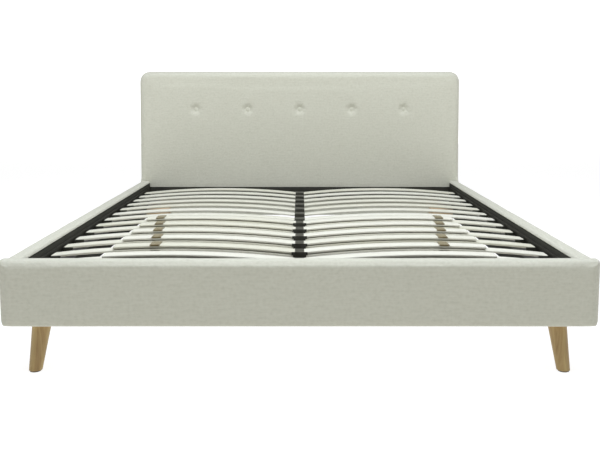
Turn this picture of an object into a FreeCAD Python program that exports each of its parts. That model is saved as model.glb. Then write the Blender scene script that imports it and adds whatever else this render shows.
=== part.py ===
"""An upholstered double bed: padded headboard with a row of buttons, padded side rails and foot
panel, four splayed oak legs, and a black steel frame that carries two banks of bowed slats.

Millimetres.  +X is to the right seen from the foot end, +Y runs from foot to head, +Z is up.
The origin is on the floor, in the middle of the bed.
"""
import FreeCAD, Part
import math
import os
import re
import Sketcher

doc = FreeCAD.newDocument("Bed")

# ---------------------------------------------------------------- driving dimensions

SIZES = [
    # the whole bed
    ("bed_width", 1720, "over the cloth of the side rails"),
    ("bed_length", 2140, "foot panel's front to headboard's back"),
    ("rail_bottom", 146, "underside of the rails, so also the height of a leg with its plate"),
    ("rail_high", 188, "rails and foot panel, bottom to top"),
    ("rail_thick", 50, "rail and foot panel, cloth to cloth"),
    # upholstery
    ("cloth", 2, "upholstery cloth with its backing"),
    ("lining", 1, "black lining cloth inside the rails and behind the headboard"),
    ("flap", 12, "cloth turned down over the inner top edge"),
    ("board_thick", 35, "timber of the rails"),
    ("top_pad", 10, "foam over the top edge of a rail board"),
    ("rail_round", 12, "rounding of the rails' top edges"),
    ("panel_round", 20, "rounding of the foot panel's upright edges"),
    # headboard
    ("head_rise", 588, "headboard above the rails"),
    ("head_thick", 75, "headboard, front cloth to back cloth"),
    ("head_pad", 34, "foam in front of the headboard's board"),
    ("head_corner", 65, "radius of the top corners"),
    ("head_round", 24, "rounding of the front edges"),
    ("sill_drop", 34, "rails' top to the top of the bare timber sill that they are bolted to"),
    ("button_pitch", 280, "spacing of the buttons"),
    ("button_drop", 203, "headboard's top to the row of buttons"),
    ("button_radius", 15, "covered button"),
    ("button_dome", 5, "height of a button's dome"),
    ("button_rim", 3, "thickness of a button at its rim"),
    ("button_sink", 9, "how deep the button's face lies in the pad"),
    ("button_gap", 2, "room around a button in its dimple"),
    ("button_shank", 3, "radius of the shank"),
    # legs
    ("leg_inset_x", 103, "bed's side to the middle of a leg's top"),
    ("leg_inset_y", 66, "bed's end to the middle of a leg's top"),
    ("leg_lean", 9.5, "degrees that a leg leans out towards its corner"),
    ("leg_top_radius", 28, "leg at its top"),
    ("leg_foot_radius", 19, "leg at its foot"),
    ("plate_size", 84, "square leg plate"),
    ("plate_thick", 2.5, "leg plate"),
    ("plate_hole", 31, "leg plate's middle to its screws, along each side"),
    ("stud_radius", 4, "hanger bolt in a leg"),
    ("stud_depth", 35, "hanger bolt's depth in the leg"),
    ("glide_radius", 16, "felt glide under a leg"),
    ("glide_thick", 4, "felt glide"),
    ("block_size", 110, "square corner block"),
    ("block_deep", 45, "height of a corner block"),
    # steel that carries the slats
    ("tube_size", 30, "square tube of the slat frame"),
    ("tube_wall", 1.5, "its wall"),
    ("frame_drop", 57, "rails' top to the top of the slat frame"),
    ("tube_play", 1, "room between the slat frame and its ledges"),
    ("ledge_wall", 3, "steel angle that the frame lies in"),
    ("ledge_rise", 52, "height of the angle above the tubes' underside"),
    ("bracket_arm", 60, "corner bracket's arm"),
    ("bracket_wall", 4, "corner bracket"),
    ("bracket_gap", 4, "room above and below a corner bracket"),
    # slats
    ("row_count", 13, "rows of slats"),
    ("row_first", 175, "foot panel's front to the middle of the first row"),
    ("row_last", 198, "middle of the last row to the headboard's front"),
    ("double_rows", 6, "rows nearest the foot that have an upper slat too"),
    ("slat_wide", 53, "slat"),
    ("slat_thick", 8, "slat"),
    ("slat_inner", 10, "bed's middle to a slat's inner end"),
    ("slat_clear", 13, "slat's outer end to the rail's inner face"),
    ("slat_rise", 22, "bow of a slat"),
    ("slat_lift", 15, "slat frame's top to a slat's top face at its ends"),
    ("slat_space", 3, "gap between a lower and an upper slat"),
    ("upper_inner", 15, "bed's middle to an upper slat's inner end"),
    ("upper_outer", 600, "bed's middle to an upper slat's outer end"),
    # plastic holders of the slats
    ("holder_wall", 2.5, "wall of a slat holder"),
    ("holder_play", 0.2, "room between a slat and its holders"),
    ("middle_half", 21, "half width of a middle holder"),
    ("ear_half", 26, "half width of a middle holder beside an upper slat"),
    ("side_grip", 30, "length of slat in a side holder"),
    ("side_back", 5, "end wall of a side holder"),
    ("side_lip", 2, "slat left proud of a side holder"),
    ("peg_radius", 4, "peg under a holder"),
    ("peg_length", 9, "peg under a holder"),
    # firmness sliders
    ("slider_first", 465, "bed's middle to the slider nearest the foot"),
    ("slider_step", 20, "each next slider is this much further out"),
    ("slider_wide", 32, "slider along the slat"),
    ("slider_wall", 2, "slider"),
    ("slider_play", 0.4, "room between slider and slats"),
    ("slider_hook", 1.5, "hooks at the open side of a slider"),
    # middle support
    ("post_radius", 16, "round tube of the middle support"),
    ("post_wall", 1.5, "its wall"),
    ("post_flange", 5, "flange under the beam"),
    ("post_bottom", 34, "height of the tube's lower end"),
    ("foot_radius", 22, "screw foot's disc"),
    ("foot_thick", 8, "screw foot's disc"),
    ("thread_radius", 5, "screw foot's thread"),
    ("thread_length", 62, "screw foot's thread above its disc"),
    ("thread_play", 0.3, "room around the thread"),
    ("plug_long", 18, "plug that closes the post's lower end"),
    # fasteners
    ("wood_screw_radius", 2, "wood screws"),
    ("wood_screw_length", 24, "wood screws, below the head"),
    ("wood_head_radius", 4, "wood screw's head"),
    ("wood_head_thick", 2, "wood screw's head"),
    ("bolt_radius", 3, "corner bolts"),
    ("bolt_length", 30, "corner bolts, below the head"),
    ("bolt_head_radius", 7, "corner bolt's head"),
    ("bolt_head_thick", 4, "corner bolt's head"),
]

sheet = doc.addObject("Spreadsheet::Sheet", "Sizes")
for row, (alias, value, note) in enumerate(SIZES, start=1):
    sheet.set("A%d" % row, str(value))
    sheet.setAlias("A%d" % row, alias)
    sheet.set("B%d" % row, note)
doc.recompute()

# Heights and spans that follow from the sizes above.
DERIVED = {
    "rail_top": "rail_bottom + rail_high",
    "head_top": "rail_top + head_rise",
    "head_sill": "rail_top - sill_drop",
    "button_height": "head_top - button_drop",
    "tube_top": "rail_top - frame_drop",
    "slat_end": "tube_top + slat_lift",
    "slat_outer": "bed_width / 2 - rail_thick - slat_clear",
    "row_pitch": "(bed_length - head_thick - row_first - row_last) / (row_count - 1)",
}
DERIVED_WORD = re.compile(r"\b(%s)\b" % "|".join(DERIVED))
ALIAS_WORD = re.compile(r"\b(%s)\b" % "|".join(alias for alias, value, note in SIZES))


def cells(text):
    """Turn the words of a formula into references to the sheet."""
    text = str(text)
    while DERIVED_WORD.search(text):
        text = DERIVED_WORD.sub(lambda found: "(%s)" % DERIVED[found.group(1)], text)
    return ALIAS_WORD.sub(r"Sizes.\1", text)


def size(alias):
    """The number in a cell, for the few counts that a loop needs."""
    return getattr(sheet, alias)


# Formulas that several pieces share.
FOOT_FACE = "(-bed_length / 2)"
FOOT_INNER = "(-bed_length / 2 + rail_thick)"
HEAD_FACE = "(bed_length / 2 - head_thick)"
HEAD_BACK = "(bed_length / 2)"
SIDE_FACE = "(bed_width / 2)"
SIDE_INNER = "(bed_width / 2 - rail_thick)"
LEDGE_BOTTOM = "(tube_top - tube_size - ledge_wall)"
SLAT_MIDDLE = "((slat_outer + slat_inner) / 2)"
BOW_RADIUS = "(((slat_outer - slat_inner)^2 / 4 + slat_rise^2) / (2 * slat_rise))"
BOW_CENTRE = "(slat_end + slat_rise - %s)" % BOW_RADIUS

# ---------------------------------------------------------------- building blocks


def bind(obj, **formulas):
    """Bind properties to formulas of the sheet; x, y and z stand for the placement."""
    for name, text in formulas.items():
        prop = "Placement.Base." + name if name in ("x", "y", "z") else name
        obj.setExpression(prop, cells(text))
    return obj


def box(name, low, high):
    """A box between two corners, each given as three formulas."""
    block = doc.addObject("Part::Box", name)
    bind(block, x=low[0], y=low[1], z=low[2])
    spans = ["(%s) - (%s)" % (top, bottom) for bottom, top in zip(low, high)]
    bind(block, Length=spans[0], Width=spans[1], Height=spans[2])
    return block


TURN_TO = {
    "+X": FreeCAD.Rotation(FreeCAD.Vector(0, 1, 0), 90),
    "-X": FreeCAD.Rotation(FreeCAD.Vector(0, 1, 0), -90),
    "+Y": FreeCAD.Rotation(FreeCAD.Vector(1, 0, 0), -90),
    "-Y": FreeCAD.Rotation(FreeCAD.Vector(1, 0, 0), 90),
    "+Z": FreeCAD.Rotation(),
}


def cylinder(name, start, direction, radius, length):
    """A round bar from a start point along one of the axes."""
    bar = doc.addObject("Part::Cylinder", name)
    bar.Placement = FreeCAD.Placement(FreeCAD.Vector(), TURN_TO[direction])
    bind(bar, x=start[0], y=start[1], z=start[2], Radius=radius, Height=length)
    return bar


def group(name, members):
    bundle = doc.addObject("Part::Compound", name)
    bundle.Links = members
    return bundle


def cut(name, base, tool):
    result = doc.addObject("Part::Cut", name)
    result.Base = base
    result.Tool = tool
    return result


def common(name, base, tool):
    result = doc.addObject("Part::Common", name)
    result.Base = base
    result.Tool = tool
    return result


def fuse(name, members):
    result = doc.addObject("Part::MultiFuse", name)
    result.Shapes = members
    result.Refine = True
    return result


def origin_plane(body, role):
    return [item for item in body.Origin.OriginFeatures if item.Role == role][0]


def outline(body, role, loops):
    """A sketch of closed outlines on one of the body's own planes.

    Every corner is tied to the origin by its two coordinates, given as formulas that are not
    negative.
    """
    sketch = body.newObject("Sketcher::SketchObject", body.Name + "Outline")
    sketch.AttachmentSupport = [(origin_plane(body, role), "")]
    sketch.MapMode = "FlatFace"
    for corners in loops:
        first = sketch.GeometryCount
        places = []
        for across, up in corners:
            places.append(FreeCAD.Vector(evaluate(across), evaluate(up), 0))
        count = len(corners)
        for index in range(count):
            line = Part.LineSegment(places[index], places[(index + 1) % count])
            sketch.addGeometry(line, False)
        for index in range(count):
            here = first + index
            after = first + (index + 1) % count
            sketch.addConstraint(Sketcher.Constraint("Coincident", here, 2, after, 1))
        for index, (across, up) in enumerate(corners):
            tie(sketch, "DistanceX", -2, first + index, across)
            tie(sketch, "DistanceY", -1, first + index, up)
    return sketch


def evaluate(text):
    """A formula's present value, by way of an object that holds it for a moment."""
    scratch = doc.getObject("Scratch") or doc.addObject("App::FeaturePython", "Scratch")
    if "Value" not in scratch.PropertiesList:
        scratch.addProperty("App::PropertyFloat", "Value")
    scratch.setExpression("Value", cells(text))
    doc.recompute([scratch])
    return scratch.Value


def tie(sketch, kind, axis, line, text):
    """Tie a line's start to the sketch's axis (at zero) or to a formula's distance from it."""
    if str(text) == "0":
        sketch.addConstraint(Sketcher.Constraint("PointOnObject", line, 1, axis))
        return
    value = evaluate(text)
    index = sketch.addConstraint(Sketcher.Constraint(kind, -1, 1, line, 1, value))
    sketch.setExpression("Constraints[%d]" % index, cells(text))


def padded(name, role, loops, length, place):
    """A body: outlines on one of its planes, padded towards the positive axis."""
    body = doc.addObject("PartDesign::Body", name)
    body.AllowCompound = True
    sketch = outline(body, role, loops)
    pad = body.newObject("PartDesign::Pad", name + "Pad")
    pad.Profile = sketch
    pad.Reversed = role == "XZ_Plane"
    bind(pad, Length=length)
    body.Tip = pad
    bind(body, x=place[0], y=place[1], z=place[2])
    doc.recompute()
    return body


def edges_where(shape, test):
    """Names of the edges whose middle point and direction pass a test."""
    names = []
    for number, edge in enumerate(shape.Edges, start=1):
        middle = edge.valueAt((edge.FirstParameter + edge.LastParameter) / 2)
        along = edge.tangentAt(edge.FirstParameter)
        if test(middle, along):
            names.append("Edge%d" % number)
    return names


def rounded(body, radius, test):
    """Round the edges of a body's last feature that pass a test."""
    last = body.Tip
    feature = body.newObject("PartDesign::Fillet", body.Name + "Round")
    feature.Base = (last, edges_where(last.Shape, test))
    bind(feature, Radius=radius)
    body.Tip = feature
    doc.recompute()
    return body


NODES = []


def node(name, obj):
    """Register a finished sub-part under the name of its file."""
    obj.Label = name
    NODES.append(obj)
    return obj


# ---------------------------------------------------------------- fasteners
# Wood screws hold the ledges and the leg plates; bolts hold the corner brackets.


def screw(name, start, direction, radius, length, head_radius, head_thick):
    """A pan-head screw: its head begins at the start point and its shank runs on."""
    axis = direction[1]
    step = head_thick if direction[0] == "+" else "-" + head_thick
    seat = list(start)
    position = "XYZ".index(axis)
    seat[position] = "(%s) + (%s)" % (start[position], step)
    head = cylinder(name + "Head", start, direction, head_radius, head_thick)
    shank = cylinder(name + "Shank", seat, direction, radius, length)
    return fuse(name, [head, shank])


def wood_screw(name, start, direction):
    return screw(name, start, direction, "wood_screw_radius", "wood_screw_length",
                 "wood_head_radius", "wood_head_thick")


def corner_bolt(name, start, direction):
    return screw(name, start, direction, "bolt_radius", "bolt_length",
                 "bolt_head_radius", "bolt_head_thick")


# Ledge screws, between the rows of slats, above the tubes of the slat frame.
SCREW_HEIGHT = "(tube_top + (ledge_rise - tube_size) / 2)"
ledge_screw_list = []
for side, direction in ((-1, "-X"), (1, "+X")):
    for step in range(0, int(size("row_count")) - 1, 2):
        reach = "%d * (%s - lining - ledge_wall - wood_head_thick)" % (
            side, "(bed_width / 2 - rail_thick + cloth)")
        along = "%s + row_first + (%d + 0.5) * row_pitch" % (FOOT_FACE, step)
        name = "LedgeScrew%s%d" % ("LR"[side > 0], step)
        ledge_screw_list.append(wood_screw(name, (reach, along, SCREW_HEIGHT), direction))
side_screws = group("SideLedgeScrews", ledge_screw_list)

END_SCREW_SPACING = "bed_width * 0.15"
foot_screw_list = []
head_screw_list = []
for step in (-2, -1, 1, 2):
    across = "%d * %s" % (step, END_SCREW_SPACING)
    near = "%s - cloth + lining + ledge_wall + wood_head_thick" % FOOT_INNER
    far = "%s - ledge_wall - wood_head_thick" % HEAD_FACE
    foot_screw_list.append(wood_screw("FootScrew%d" % (step + 2), (across, near, SCREW_HEIGHT), "-Y"))
    head_screw_list.append(wood_screw("HeadScrew%d" % (step + 2), (across, far, SCREW_HEIGHT), "+Y"))
foot_screws = group("FootLedgeScrews", foot_screw_list)
head_screws = group("HeadLedgeScrews", head_screw_list)
ledge_screws = node("ledge_screws", group("LedgeScrews", [side_screws, foot_screws, head_screws]))

# Leg plate screws, four in each plate, driven upwards.
CORNERS = {"front_left": (-1, -1), "front_right": (1, -1), "back_left": (-1, 1), "back_right": (1, 1)}


def leg_place(corner):
    """The middle of a leg's top, as two formulas."""
    side, end = CORNERS[corner]
    return ("(%d * (bed_width / 2 - leg_inset_x))" % side,
            "(%d * (bed_length / 2 - leg_inset_y))" % end)


plate_screw_list = []
for corner in CORNERS:
    middle_x, middle_y = leg_place(corner)
    for index, (right, back) in enumerate(((-1, -1), (1, -1), (-1, 1), (1, 1))):
        start = ("%s + %d * plate_hole" % (middle_x, right),
                 "%s + %d * plate_hole" % (middle_y, back),
                 "rail_bottom - plate_thick - wood_head_thick")
        name = "PlateScrew_%s_%d" % (corner, index)
        plate_screw_list.append(wood_screw(name, start, "+Z"))
plate_screws = node("leg_plate_screws", group("LegPlateScrews", plate_screw_list))

# Corner bolts, two in each arm of a bracket.
BRACKET_LOW = "(rail_bottom + block_deep + bracket_gap)"
BRACKET_HIGH = "(%s - bracket_gap)" % LEDGE_BOTTOM
BOLT_ALONG = "(bracket_arm * 0.64)"
BOLT_HEIGHTS = ("%s + (%s - %s) * 0.24" % (BRACKET_LOW, BRACKET_HIGH, BRACKET_LOW),
                "%s + (%s - %s) * 0.76" % (BRACKET_LOW, BRACKET_HIGH, BRACKET_LOW))
BOARD_INNER_X = "(bed_width / 2 - rail_thick + cloth - lining)"
BOARD_INNER_FOOT = "(-bed_length / 2 + rail_thick - cloth + lining)"
bolt_list = []
for corner, (side, end) in CORNERS.items():
    inner_end = BOARD_INNER_FOOT if end < 0 else HEAD_FACE
    wall_x = "%d * (%s - bracket_wall - bolt_head_thick)" % (side, BOARD_INNER_X)
    wall_y = "%s - (%d) * (bracket_wall + bolt_head_thick)" % (inner_end, end)
    for level, height in enumerate(BOLT_HEIGHTS):
        into_side = (wall_x, "%s - (%d) * %s" % (inner_end, end, BOLT_ALONG), height)
        into_end = ("%d * (%s - %s)" % (side, BOARD_INNER_X, BOLT_ALONG), wall_y, height)
        name = "CornerBolt_%s_%d" % (corner, level)
        bolt_list.append(corner_bolt(name + "s", into_side, "+X" if side > 0 else "-X"))
        bolt_list.append(corner_bolt(name + "e", into_end, "+Y" if end > 0 else "-Y"))
corner_bolts = node("corner_bolts", group("CornerBolts", bolt_list))

into_wood = group("EveryWoodFastener", [ledge_screws, plate_screws, corner_bolts])

# ---------------------------------------------------------------- side rails
# A timber board, an L of foam over its outer face and top, cloth all round the outside that turns
# down over the inner edge, and black lining on the inner face.

RAIL_SPAN = "(bed_length - rail_thick - head_thick)"


def side_rail(name, side):
    def wide_box(label, inset_in, inset_out, low, high):
        """A bar the length of the rail, between two insets from its inner and outer faces."""
        inner = "(%s + (%s))" % (SIDE_INNER, inset_in)
        outer = "(%s - (%s))" % (SIDE_FACE, inset_out)
        left, right = (inner, outer) if side > 0 else ("-" + outer, "-" + inner)
        return box(label, (left, FOOT_INNER, low), (right, HEAD_FACE, high))

    def envelope(label, inset):
        """The rail's outside, or what the cloth goes round, with rounded top edges."""
        across = "(rail_thick - 2 * (%s))" % inset
        upright = "(rail_top - rail_bottom - 2 * (%s))" % inset
        corners = [("0", "0"), (across, "0"), (across, upright), ("0", upright)]
        left = SIDE_INNER if side > 0 else "(-bed_width / 2)"
        place = ("%s + (%s)" % (left, inset), FOOT_INNER, "rail_bottom + (%s)" % inset)
        body = padded(label, "XZ_Plane", [corners], RAIL_SPAN, place)
        top = evaluate(upright)
        return rounded(body, "rail_round - (%s)" % inset,
                       lambda middle, along: abs(along.y) > 0.99 and middle.z > top - 0.01)

    outside = envelope(name + "Outside", "0")
    inside = envelope(name + "Inside", "cloth")
    window = wide_box(name + "Window", "-1", "rail_thick - cloth", "rail_bottom - 1", "rail_top - flap")
    timber_bar = wide_box(name + "TimberBar", "cloth", "rail_thick - cloth - board_thick",
                          "rail_bottom + cloth", "rail_top - cloth - top_pad")
    timber = common(name + "Timber", inside, timber_bar)
    shell = cut(name + "Shell", outside, inside)
    lining = wide_box(name + "LiningStrip", "cloth - lining", "rail_thick - cloth",
                      "rail_bottom + cloth", "rail_top - flap")
    open_shell = cut(name + "OpenShell", shell, window)
    node("rail_%s_board" % name, cut(name + "Board", timber, into_wood))
    node("rail_%s_foam" % name, cut(name + "Foam", inside, timber))
    node("rail_%s_cover" % name, cut(name + "Cover", open_shell, into_wood))
    node("rail_%s_lining" % name, cut(name + "Lining", lining, into_wood))


side_rail("left", -1)
side_rail("right", 1)

# ---------------------------------------------------------------- foot panel
# Built like a side rail, across the whole width, with rounded upright edges.


def foot_envelope(label, inset):
    across = "(rail_thick - 2 * (%s))" % inset
    upright = "(rail_top - rail_bottom - 2 * (%s))" % inset
    corners = [("0", "0"), (across, "0"), (across, upright), ("0", upright)]
    place = ("-bed_width / 2 + (%s)" % inset, "%s + (%s)" % (FOOT_FACE, inset),
             "rail_bottom + (%s)" % inset)
    body = padded(label, "YZ_Plane", [corners], "bed_width - 2 * (%s)" % inset, place)
    rounded(body, "panel_round - (%s)" % inset,
            lambda middle, along: abs(along.z) > 0.99 and middle.y < 0.01)
    top = evaluate(upright)
    return rounded(body, "rail_round - (%s)" % inset,
                   lambda middle, along: abs(along.z) < 0.01 and middle.z > top - 0.01)


foot_outside = foot_envelope("FootOutside", "0")
foot_inside = foot_envelope("FootInside", "cloth")
foot_bar = box("FootTimberBar",
               ("-bed_width / 2 + cloth + panel_round / 2", "%s - cloth - board_thick" % FOOT_INNER,
                "rail_bottom + cloth"),
               ("bed_width / 2 - cloth - panel_round / 2", "%s - cloth" % FOOT_INNER,
                "rail_top - cloth - top_pad"))
foot_timber = common("FootTimber", foot_inside, foot_bar)
foot_window = box("FootWindow",
                  ("-" + BOARD_INNER_X, "%s - cloth" % FOOT_INNER, "rail_bottom - 1"),
                  (BOARD_INNER_X, "%s + 1" % FOOT_INNER, "rail_top - flap"))
foot_lining = box("FootLiningStrip",
                  ("-" + BOARD_INNER_X, "%s - cloth" % FOOT_INNER, "rail_bottom + cloth"),
                  (BOARD_INNER_X, "%s - cloth + lining" % FOOT_INNER, "rail_top - flap"))
foot_shell = cut("FootShell", foot_outside, foot_inside)
foot_open_shell = cut("FootOpenShell", foot_shell, foot_window)
node("foot_board", cut("FootBoard", foot_timber, into_wood))
node("foot_foam", cut("FootFoam", foot_inside, foot_timber))
node("foot_cover", cut("FootCover", foot_open_shell, into_wood))
node("foot_lining", cut("FootLining", foot_lining, into_wood))

# ---------------------------------------------------------------- headboard
# A board with a timber sill at rail height, foam in front of the board, cloth over front, top and
# sides, a thin cloth over the back, and five covered buttons pulled into the pad.


def head_envelope(label, inset, back):
    across = "(bed_width - 2 * (%s))" % inset
    upright = "(head_top - rail_bottom - 2 * (%s))" % inset
    corners = [("0", "0"), (across, "0"), (across, upright), ("0", upright)]
    place = ("-bed_width / 2 + (%s)" % inset, "%s + (%s)" % (HEAD_FACE, inset),
             "rail_bottom + (%s)" % inset)
    body = padded(label, "XZ_Plane", [corners], "head_thick - (%s) - (%s)" % (inset, back), place)
    top = evaluate(upright)
    rounded(body, "head_corner - (%s)" % inset,
            lambda middle, along: abs(along.y) > 0.99 and middle.z > top - 0.01)
    return rounded(body, "head_round - (%s)" % inset,
                   lambda middle, along: middle.y < 0.01 and middle.z > 0.01)


head_outside = head_envelope("HeadOutside", "0", "lining")
head_inside = head_envelope("HeadInside", "cloth", "lining")
board_front = "(%s + cloth + head_pad)" % HEAD_FACE
board_zone = box("HeadBoardZone", ("-bed_width / 2", board_front, "0"), (SIDE_FACE, HEAD_BACK, "head_top"))
sill_zone = box("HeadSillZone", ("-bed_width / 2", HEAD_FACE, "0"), (SIDE_FACE, HEAD_BACK, "head_sill"))
timber_zone = fuse("HeadTimberZone", [board_zone, sill_zone])
head_timber = common("HeadTimber", head_inside, timber_zone)
head_padding = cut("HeadPadding", head_inside, timber_zone)
head_shell = cut("HeadShell", head_outside, head_inside)

# One button is turned about its own middle line, then set five times across the board.
BUTTON_COUNT = 5
BUTTON_BACK = "(button_dome + button_rim)"
SHANK_END = "(head_pad + cloth - button_sink)"


def turned_button(name, place):
    """A domed disc with a shank behind it, turned about the line that points into the board."""
    body = doc.addObject("PartDesign::Body", name)
    sketch = body.newObject("Sketcher::SketchObject", name + "Profile")
    sketch.AttachmentSupport = [(origin_plane(body, "XY_Plane"), "")]
    sketch.MapMode = "FlatFace"
    corners = [("button_radius", "button_dome"), ("button_radius", BUTTON_BACK),
               ("button_shank", BUTTON_BACK), ("button_shank", SHANK_END), ("0", SHANK_END), ("0", "0")]
    places = [FreeCAD.Vector(evaluate(across), evaluate(up), 0) for across, up in corners]
    for start, end in zip(places, places[1:]):
        sketch.addGeometry(Part.LineSegment(start, end), False)
    rim, dome = size("button_radius"), size("button_dome")
    ball = (rim ** 2 + dome ** 2) / (2 * dome)
    lean = math.asin(rim / ball) / 2
    crown = FreeCAD.Vector(ball * math.sin(lean), ball * (1 - math.cos(lean)), 0)
    arc = sketch.addGeometry(Part.Arc(places[-1], crown, places[0]), False)
    for line in range(arc - 1):
        sketch.addConstraint(Sketcher.Constraint("Coincident", line, 2, line + 1, 1))
    for line, (across, up) in enumerate(corners[:-1]):
        tie(sketch, "DistanceX", -2, line, across)
        tie(sketch, "DistanceY", -1, line, up)
    sketch.addConstraint(Sketcher.Constraint("Coincident", arc - 1, 2, -1, 1))
    ends = {True: 1, False: 2}
    starts_low = sketch.getPoint(arc, 1).y < sketch.getPoint(arc, 2).y
    sketch.addConstraint(Sketcher.Constraint("Coincident", arc, ends[starts_low], arc - 1, 2))
    sketch.addConstraint(Sketcher.Constraint("Coincident", arc, ends[not starts_low], 0, 1))
    sketch.addConstraint(Sketcher.Constraint("PointOnObject", arc, 3, -2))
    turn = body.newObject("PartDesign::Revolution", name + "Turn")
    turn.Profile = sketch
    turn.ReferenceAxis = (sketch, ["V_Axis"])
    turn.Angle = 360
    body.Tip = turn
    bind(body, x=place[0], y=place[1], z=place[2])
    return body


button_list = []
dimple_list = []
for index in range(BUTTON_COUNT):
    across = "(%d * button_pitch)" % (index - BUTTON_COUNT // 2)
    button_list.append(turned_button("Button%d" % index,
                                     (across, "%s + button_sink" % HEAD_FACE, "button_height")))
    hole = cylinder("ShankHole%d" % index, (across, HEAD_FACE, "button_height"), "+Y", "button_shank",
                    "head_pad + cloth")
    cup = cylinder("ButtonCup%d" % index, (across, "%s - 1" % HEAD_FACE, "button_height"), "+Y",
                   "button_radius + button_gap", "1 + button_sink + %s" % BUTTON_BACK)
    dimple_list.append(fuse("Dimple%d" % index, [cup, hole]))
node("headboard_buttons", group("Buttons", button_list))
dimples = group("Dimples", dimple_list)

back_cloth = box("HeadBackBlank",
                 ("-bed_width / 2 + head_corner / 4", "%s - lining" % HEAD_BACK, "rail_bottom + cloth"),
                 ("bed_width / 2 - head_corner / 4", HEAD_BACK, "head_top - head_corner / 4"))
node("headboard_board", cut("HeadBoard", head_timber, into_wood))
node("headboard_foam", cut("HeadFoam", head_padding, dimples))
node("headboard_cover", cut("HeadCover", cut("HeadCoverBolted", head_shell, into_wood), dimples))
node("headboard_back_cloth", back_cloth)

# ---------------------------------------------------------------- corners and legs
# A timber block in each corner carries a steel plate; a hanger bolt joins plate and leg.

block_list = []
bracket_list = []
plate_list = []
stud_list = []
glide_list = []
LEG_RUN = "(rail_bottom - plate_thick)"
for corner, (side, end) in CORNERS.items():
    inner_end = BOARD_INNER_FOOT if end < 0 else HEAD_FACE
    spans = []
    for sign, reach in ((side, "%d * %s" % (side, BOARD_INNER_X)), (end, inner_end)):
        far = "%s - (%d) * block_size" % (reach, sign)
        spans.append((far, reach) if sign > 0 else (reach, far))
    block_list.append(box("Block_" + corner,
                          (spans[0][0], spans[1][0], "rail_bottom"),
                          (spans[0][1], spans[1][1], "rail_bottom + block_deep")))

    # A pressed bracket: two arms at right angles, against the rail and the end board.
    arm = "bracket_arm"
    wall = "bracket_wall"
    across = (lambda text: text) if side < 0 else (lambda text: "(%s - (%s))" % (arm, text))
    along = (lambda text: text) if end < 0 else (lambda text: "(%s - (%s))" % (arm, text))
    corners = [("0", "0"), (arm, "0"), (arm, wall), (wall, wall), (wall, arm), ("0", arm)]
    turned = [(across(right), along(back)) for right, back in corners]
    turned = [tuple("0" if text == "(%s - (%s))" % (arm, arm) else text for text in pair)
              for pair in turned]
    left = "%d * %s" % (side, BOARD_INNER_X) + ("" if side < 0 else " - bracket_arm")
    near = inner_end + ("" if end < 0 else " - bracket_arm")
    bracket = padded("Bracket_" + corner, "XY_Plane", [turned],
                     "%s - %s" % (BRACKET_HIGH, BRACKET_LOW), (left, near, BRACKET_LOW))
    bracket_list.append(bracket)

    middle_x, middle_y = leg_place(corner)
    plate_list.append(box("Plate_" + corner,
                          ("%s - plate_size / 2" % middle_x, "%s - plate_size / 2" % middle_y, LEG_RUN),
                          ("%s + plate_size / 2" % middle_x, "%s + plate_size / 2" % middle_y,
                           "rail_bottom")))

    # The leg is a cone about a leaning line, cut level at the plate and at the glide.
    cone = doc.addObject("Part::Cone", "Cone_" + corner)
    bind(cone, Radius1="leg_top_radius", Height="1.12 * " + LEG_RUN,
         Radius2="leg_foot_radius - 0.12 * (leg_top_radius - leg_foot_radius)")
    shaft = doc.addObject("Part::Cylinder", "Shaft_" + corner)
    bind(shaft, Radius="stud_radius", Height="stud_depth")
    for piece in (cone, shaft):
        piece.Placement.Rotation = FreeCAD.Rotation(FreeCAD.Vector(-end, side, 0), 170)
        piece.setExpression("Placement.Rotation.Angle", cells("180 - leg_lean"))
        bind(piece, x=middle_x, y=middle_y, z=LEG_RUN)
    slab = box("Slab_" + corner,
               ("%s - 100" % middle_x, "%s - 100" % middle_y, "glide_thick"),
               ("%s + 100" % middle_x, "%s + 100" % middle_y, LEG_RUN))
    stud = common("LegStud_" + corner, shaft, slab)
    stud_list.append(stud)
    leg = common("LegBlank_" + corner, cone, slab)
    node("leg_" + corner, cut("Leg_" + corner, leg, stud))

    drift = "(%s * tan(leg_lean) / sqrt(2))" % LEG_RUN
    glide_list.append(cylinder("Glide_" + corner,
                               ("%s + (%d) * %s" % (middle_x, side, drift),
                                "%s + (%d) * %s" % (middle_y, end, drift), "0"),
                               "+Z", "glide_radius", "glide_thick"))

node("corner_blocks", cut("CornerBlocks", group("Blocks", block_list), into_wood))
node("corner_brackets", cut("CornerBrackets", group("Brackets", bracket_list), corner_bolts))
node("leg_plates", cut("LegPlates", group("Plates", plate_list), plate_screws))
node("leg_studs", group("LegStuds", stud_list))
node("leg_glides", group("LegGlides", glide_list))

# ---------------------------------------------------------------- steel ledges
# Angles screwed to the inner faces; the slat frame lies in them.


def ledge(name, role, corners, length, place):
    return node(name, cut(name + "Drilled", padded(name + "Angle", role, [corners], length, place),
                          ledge_screws))


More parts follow.
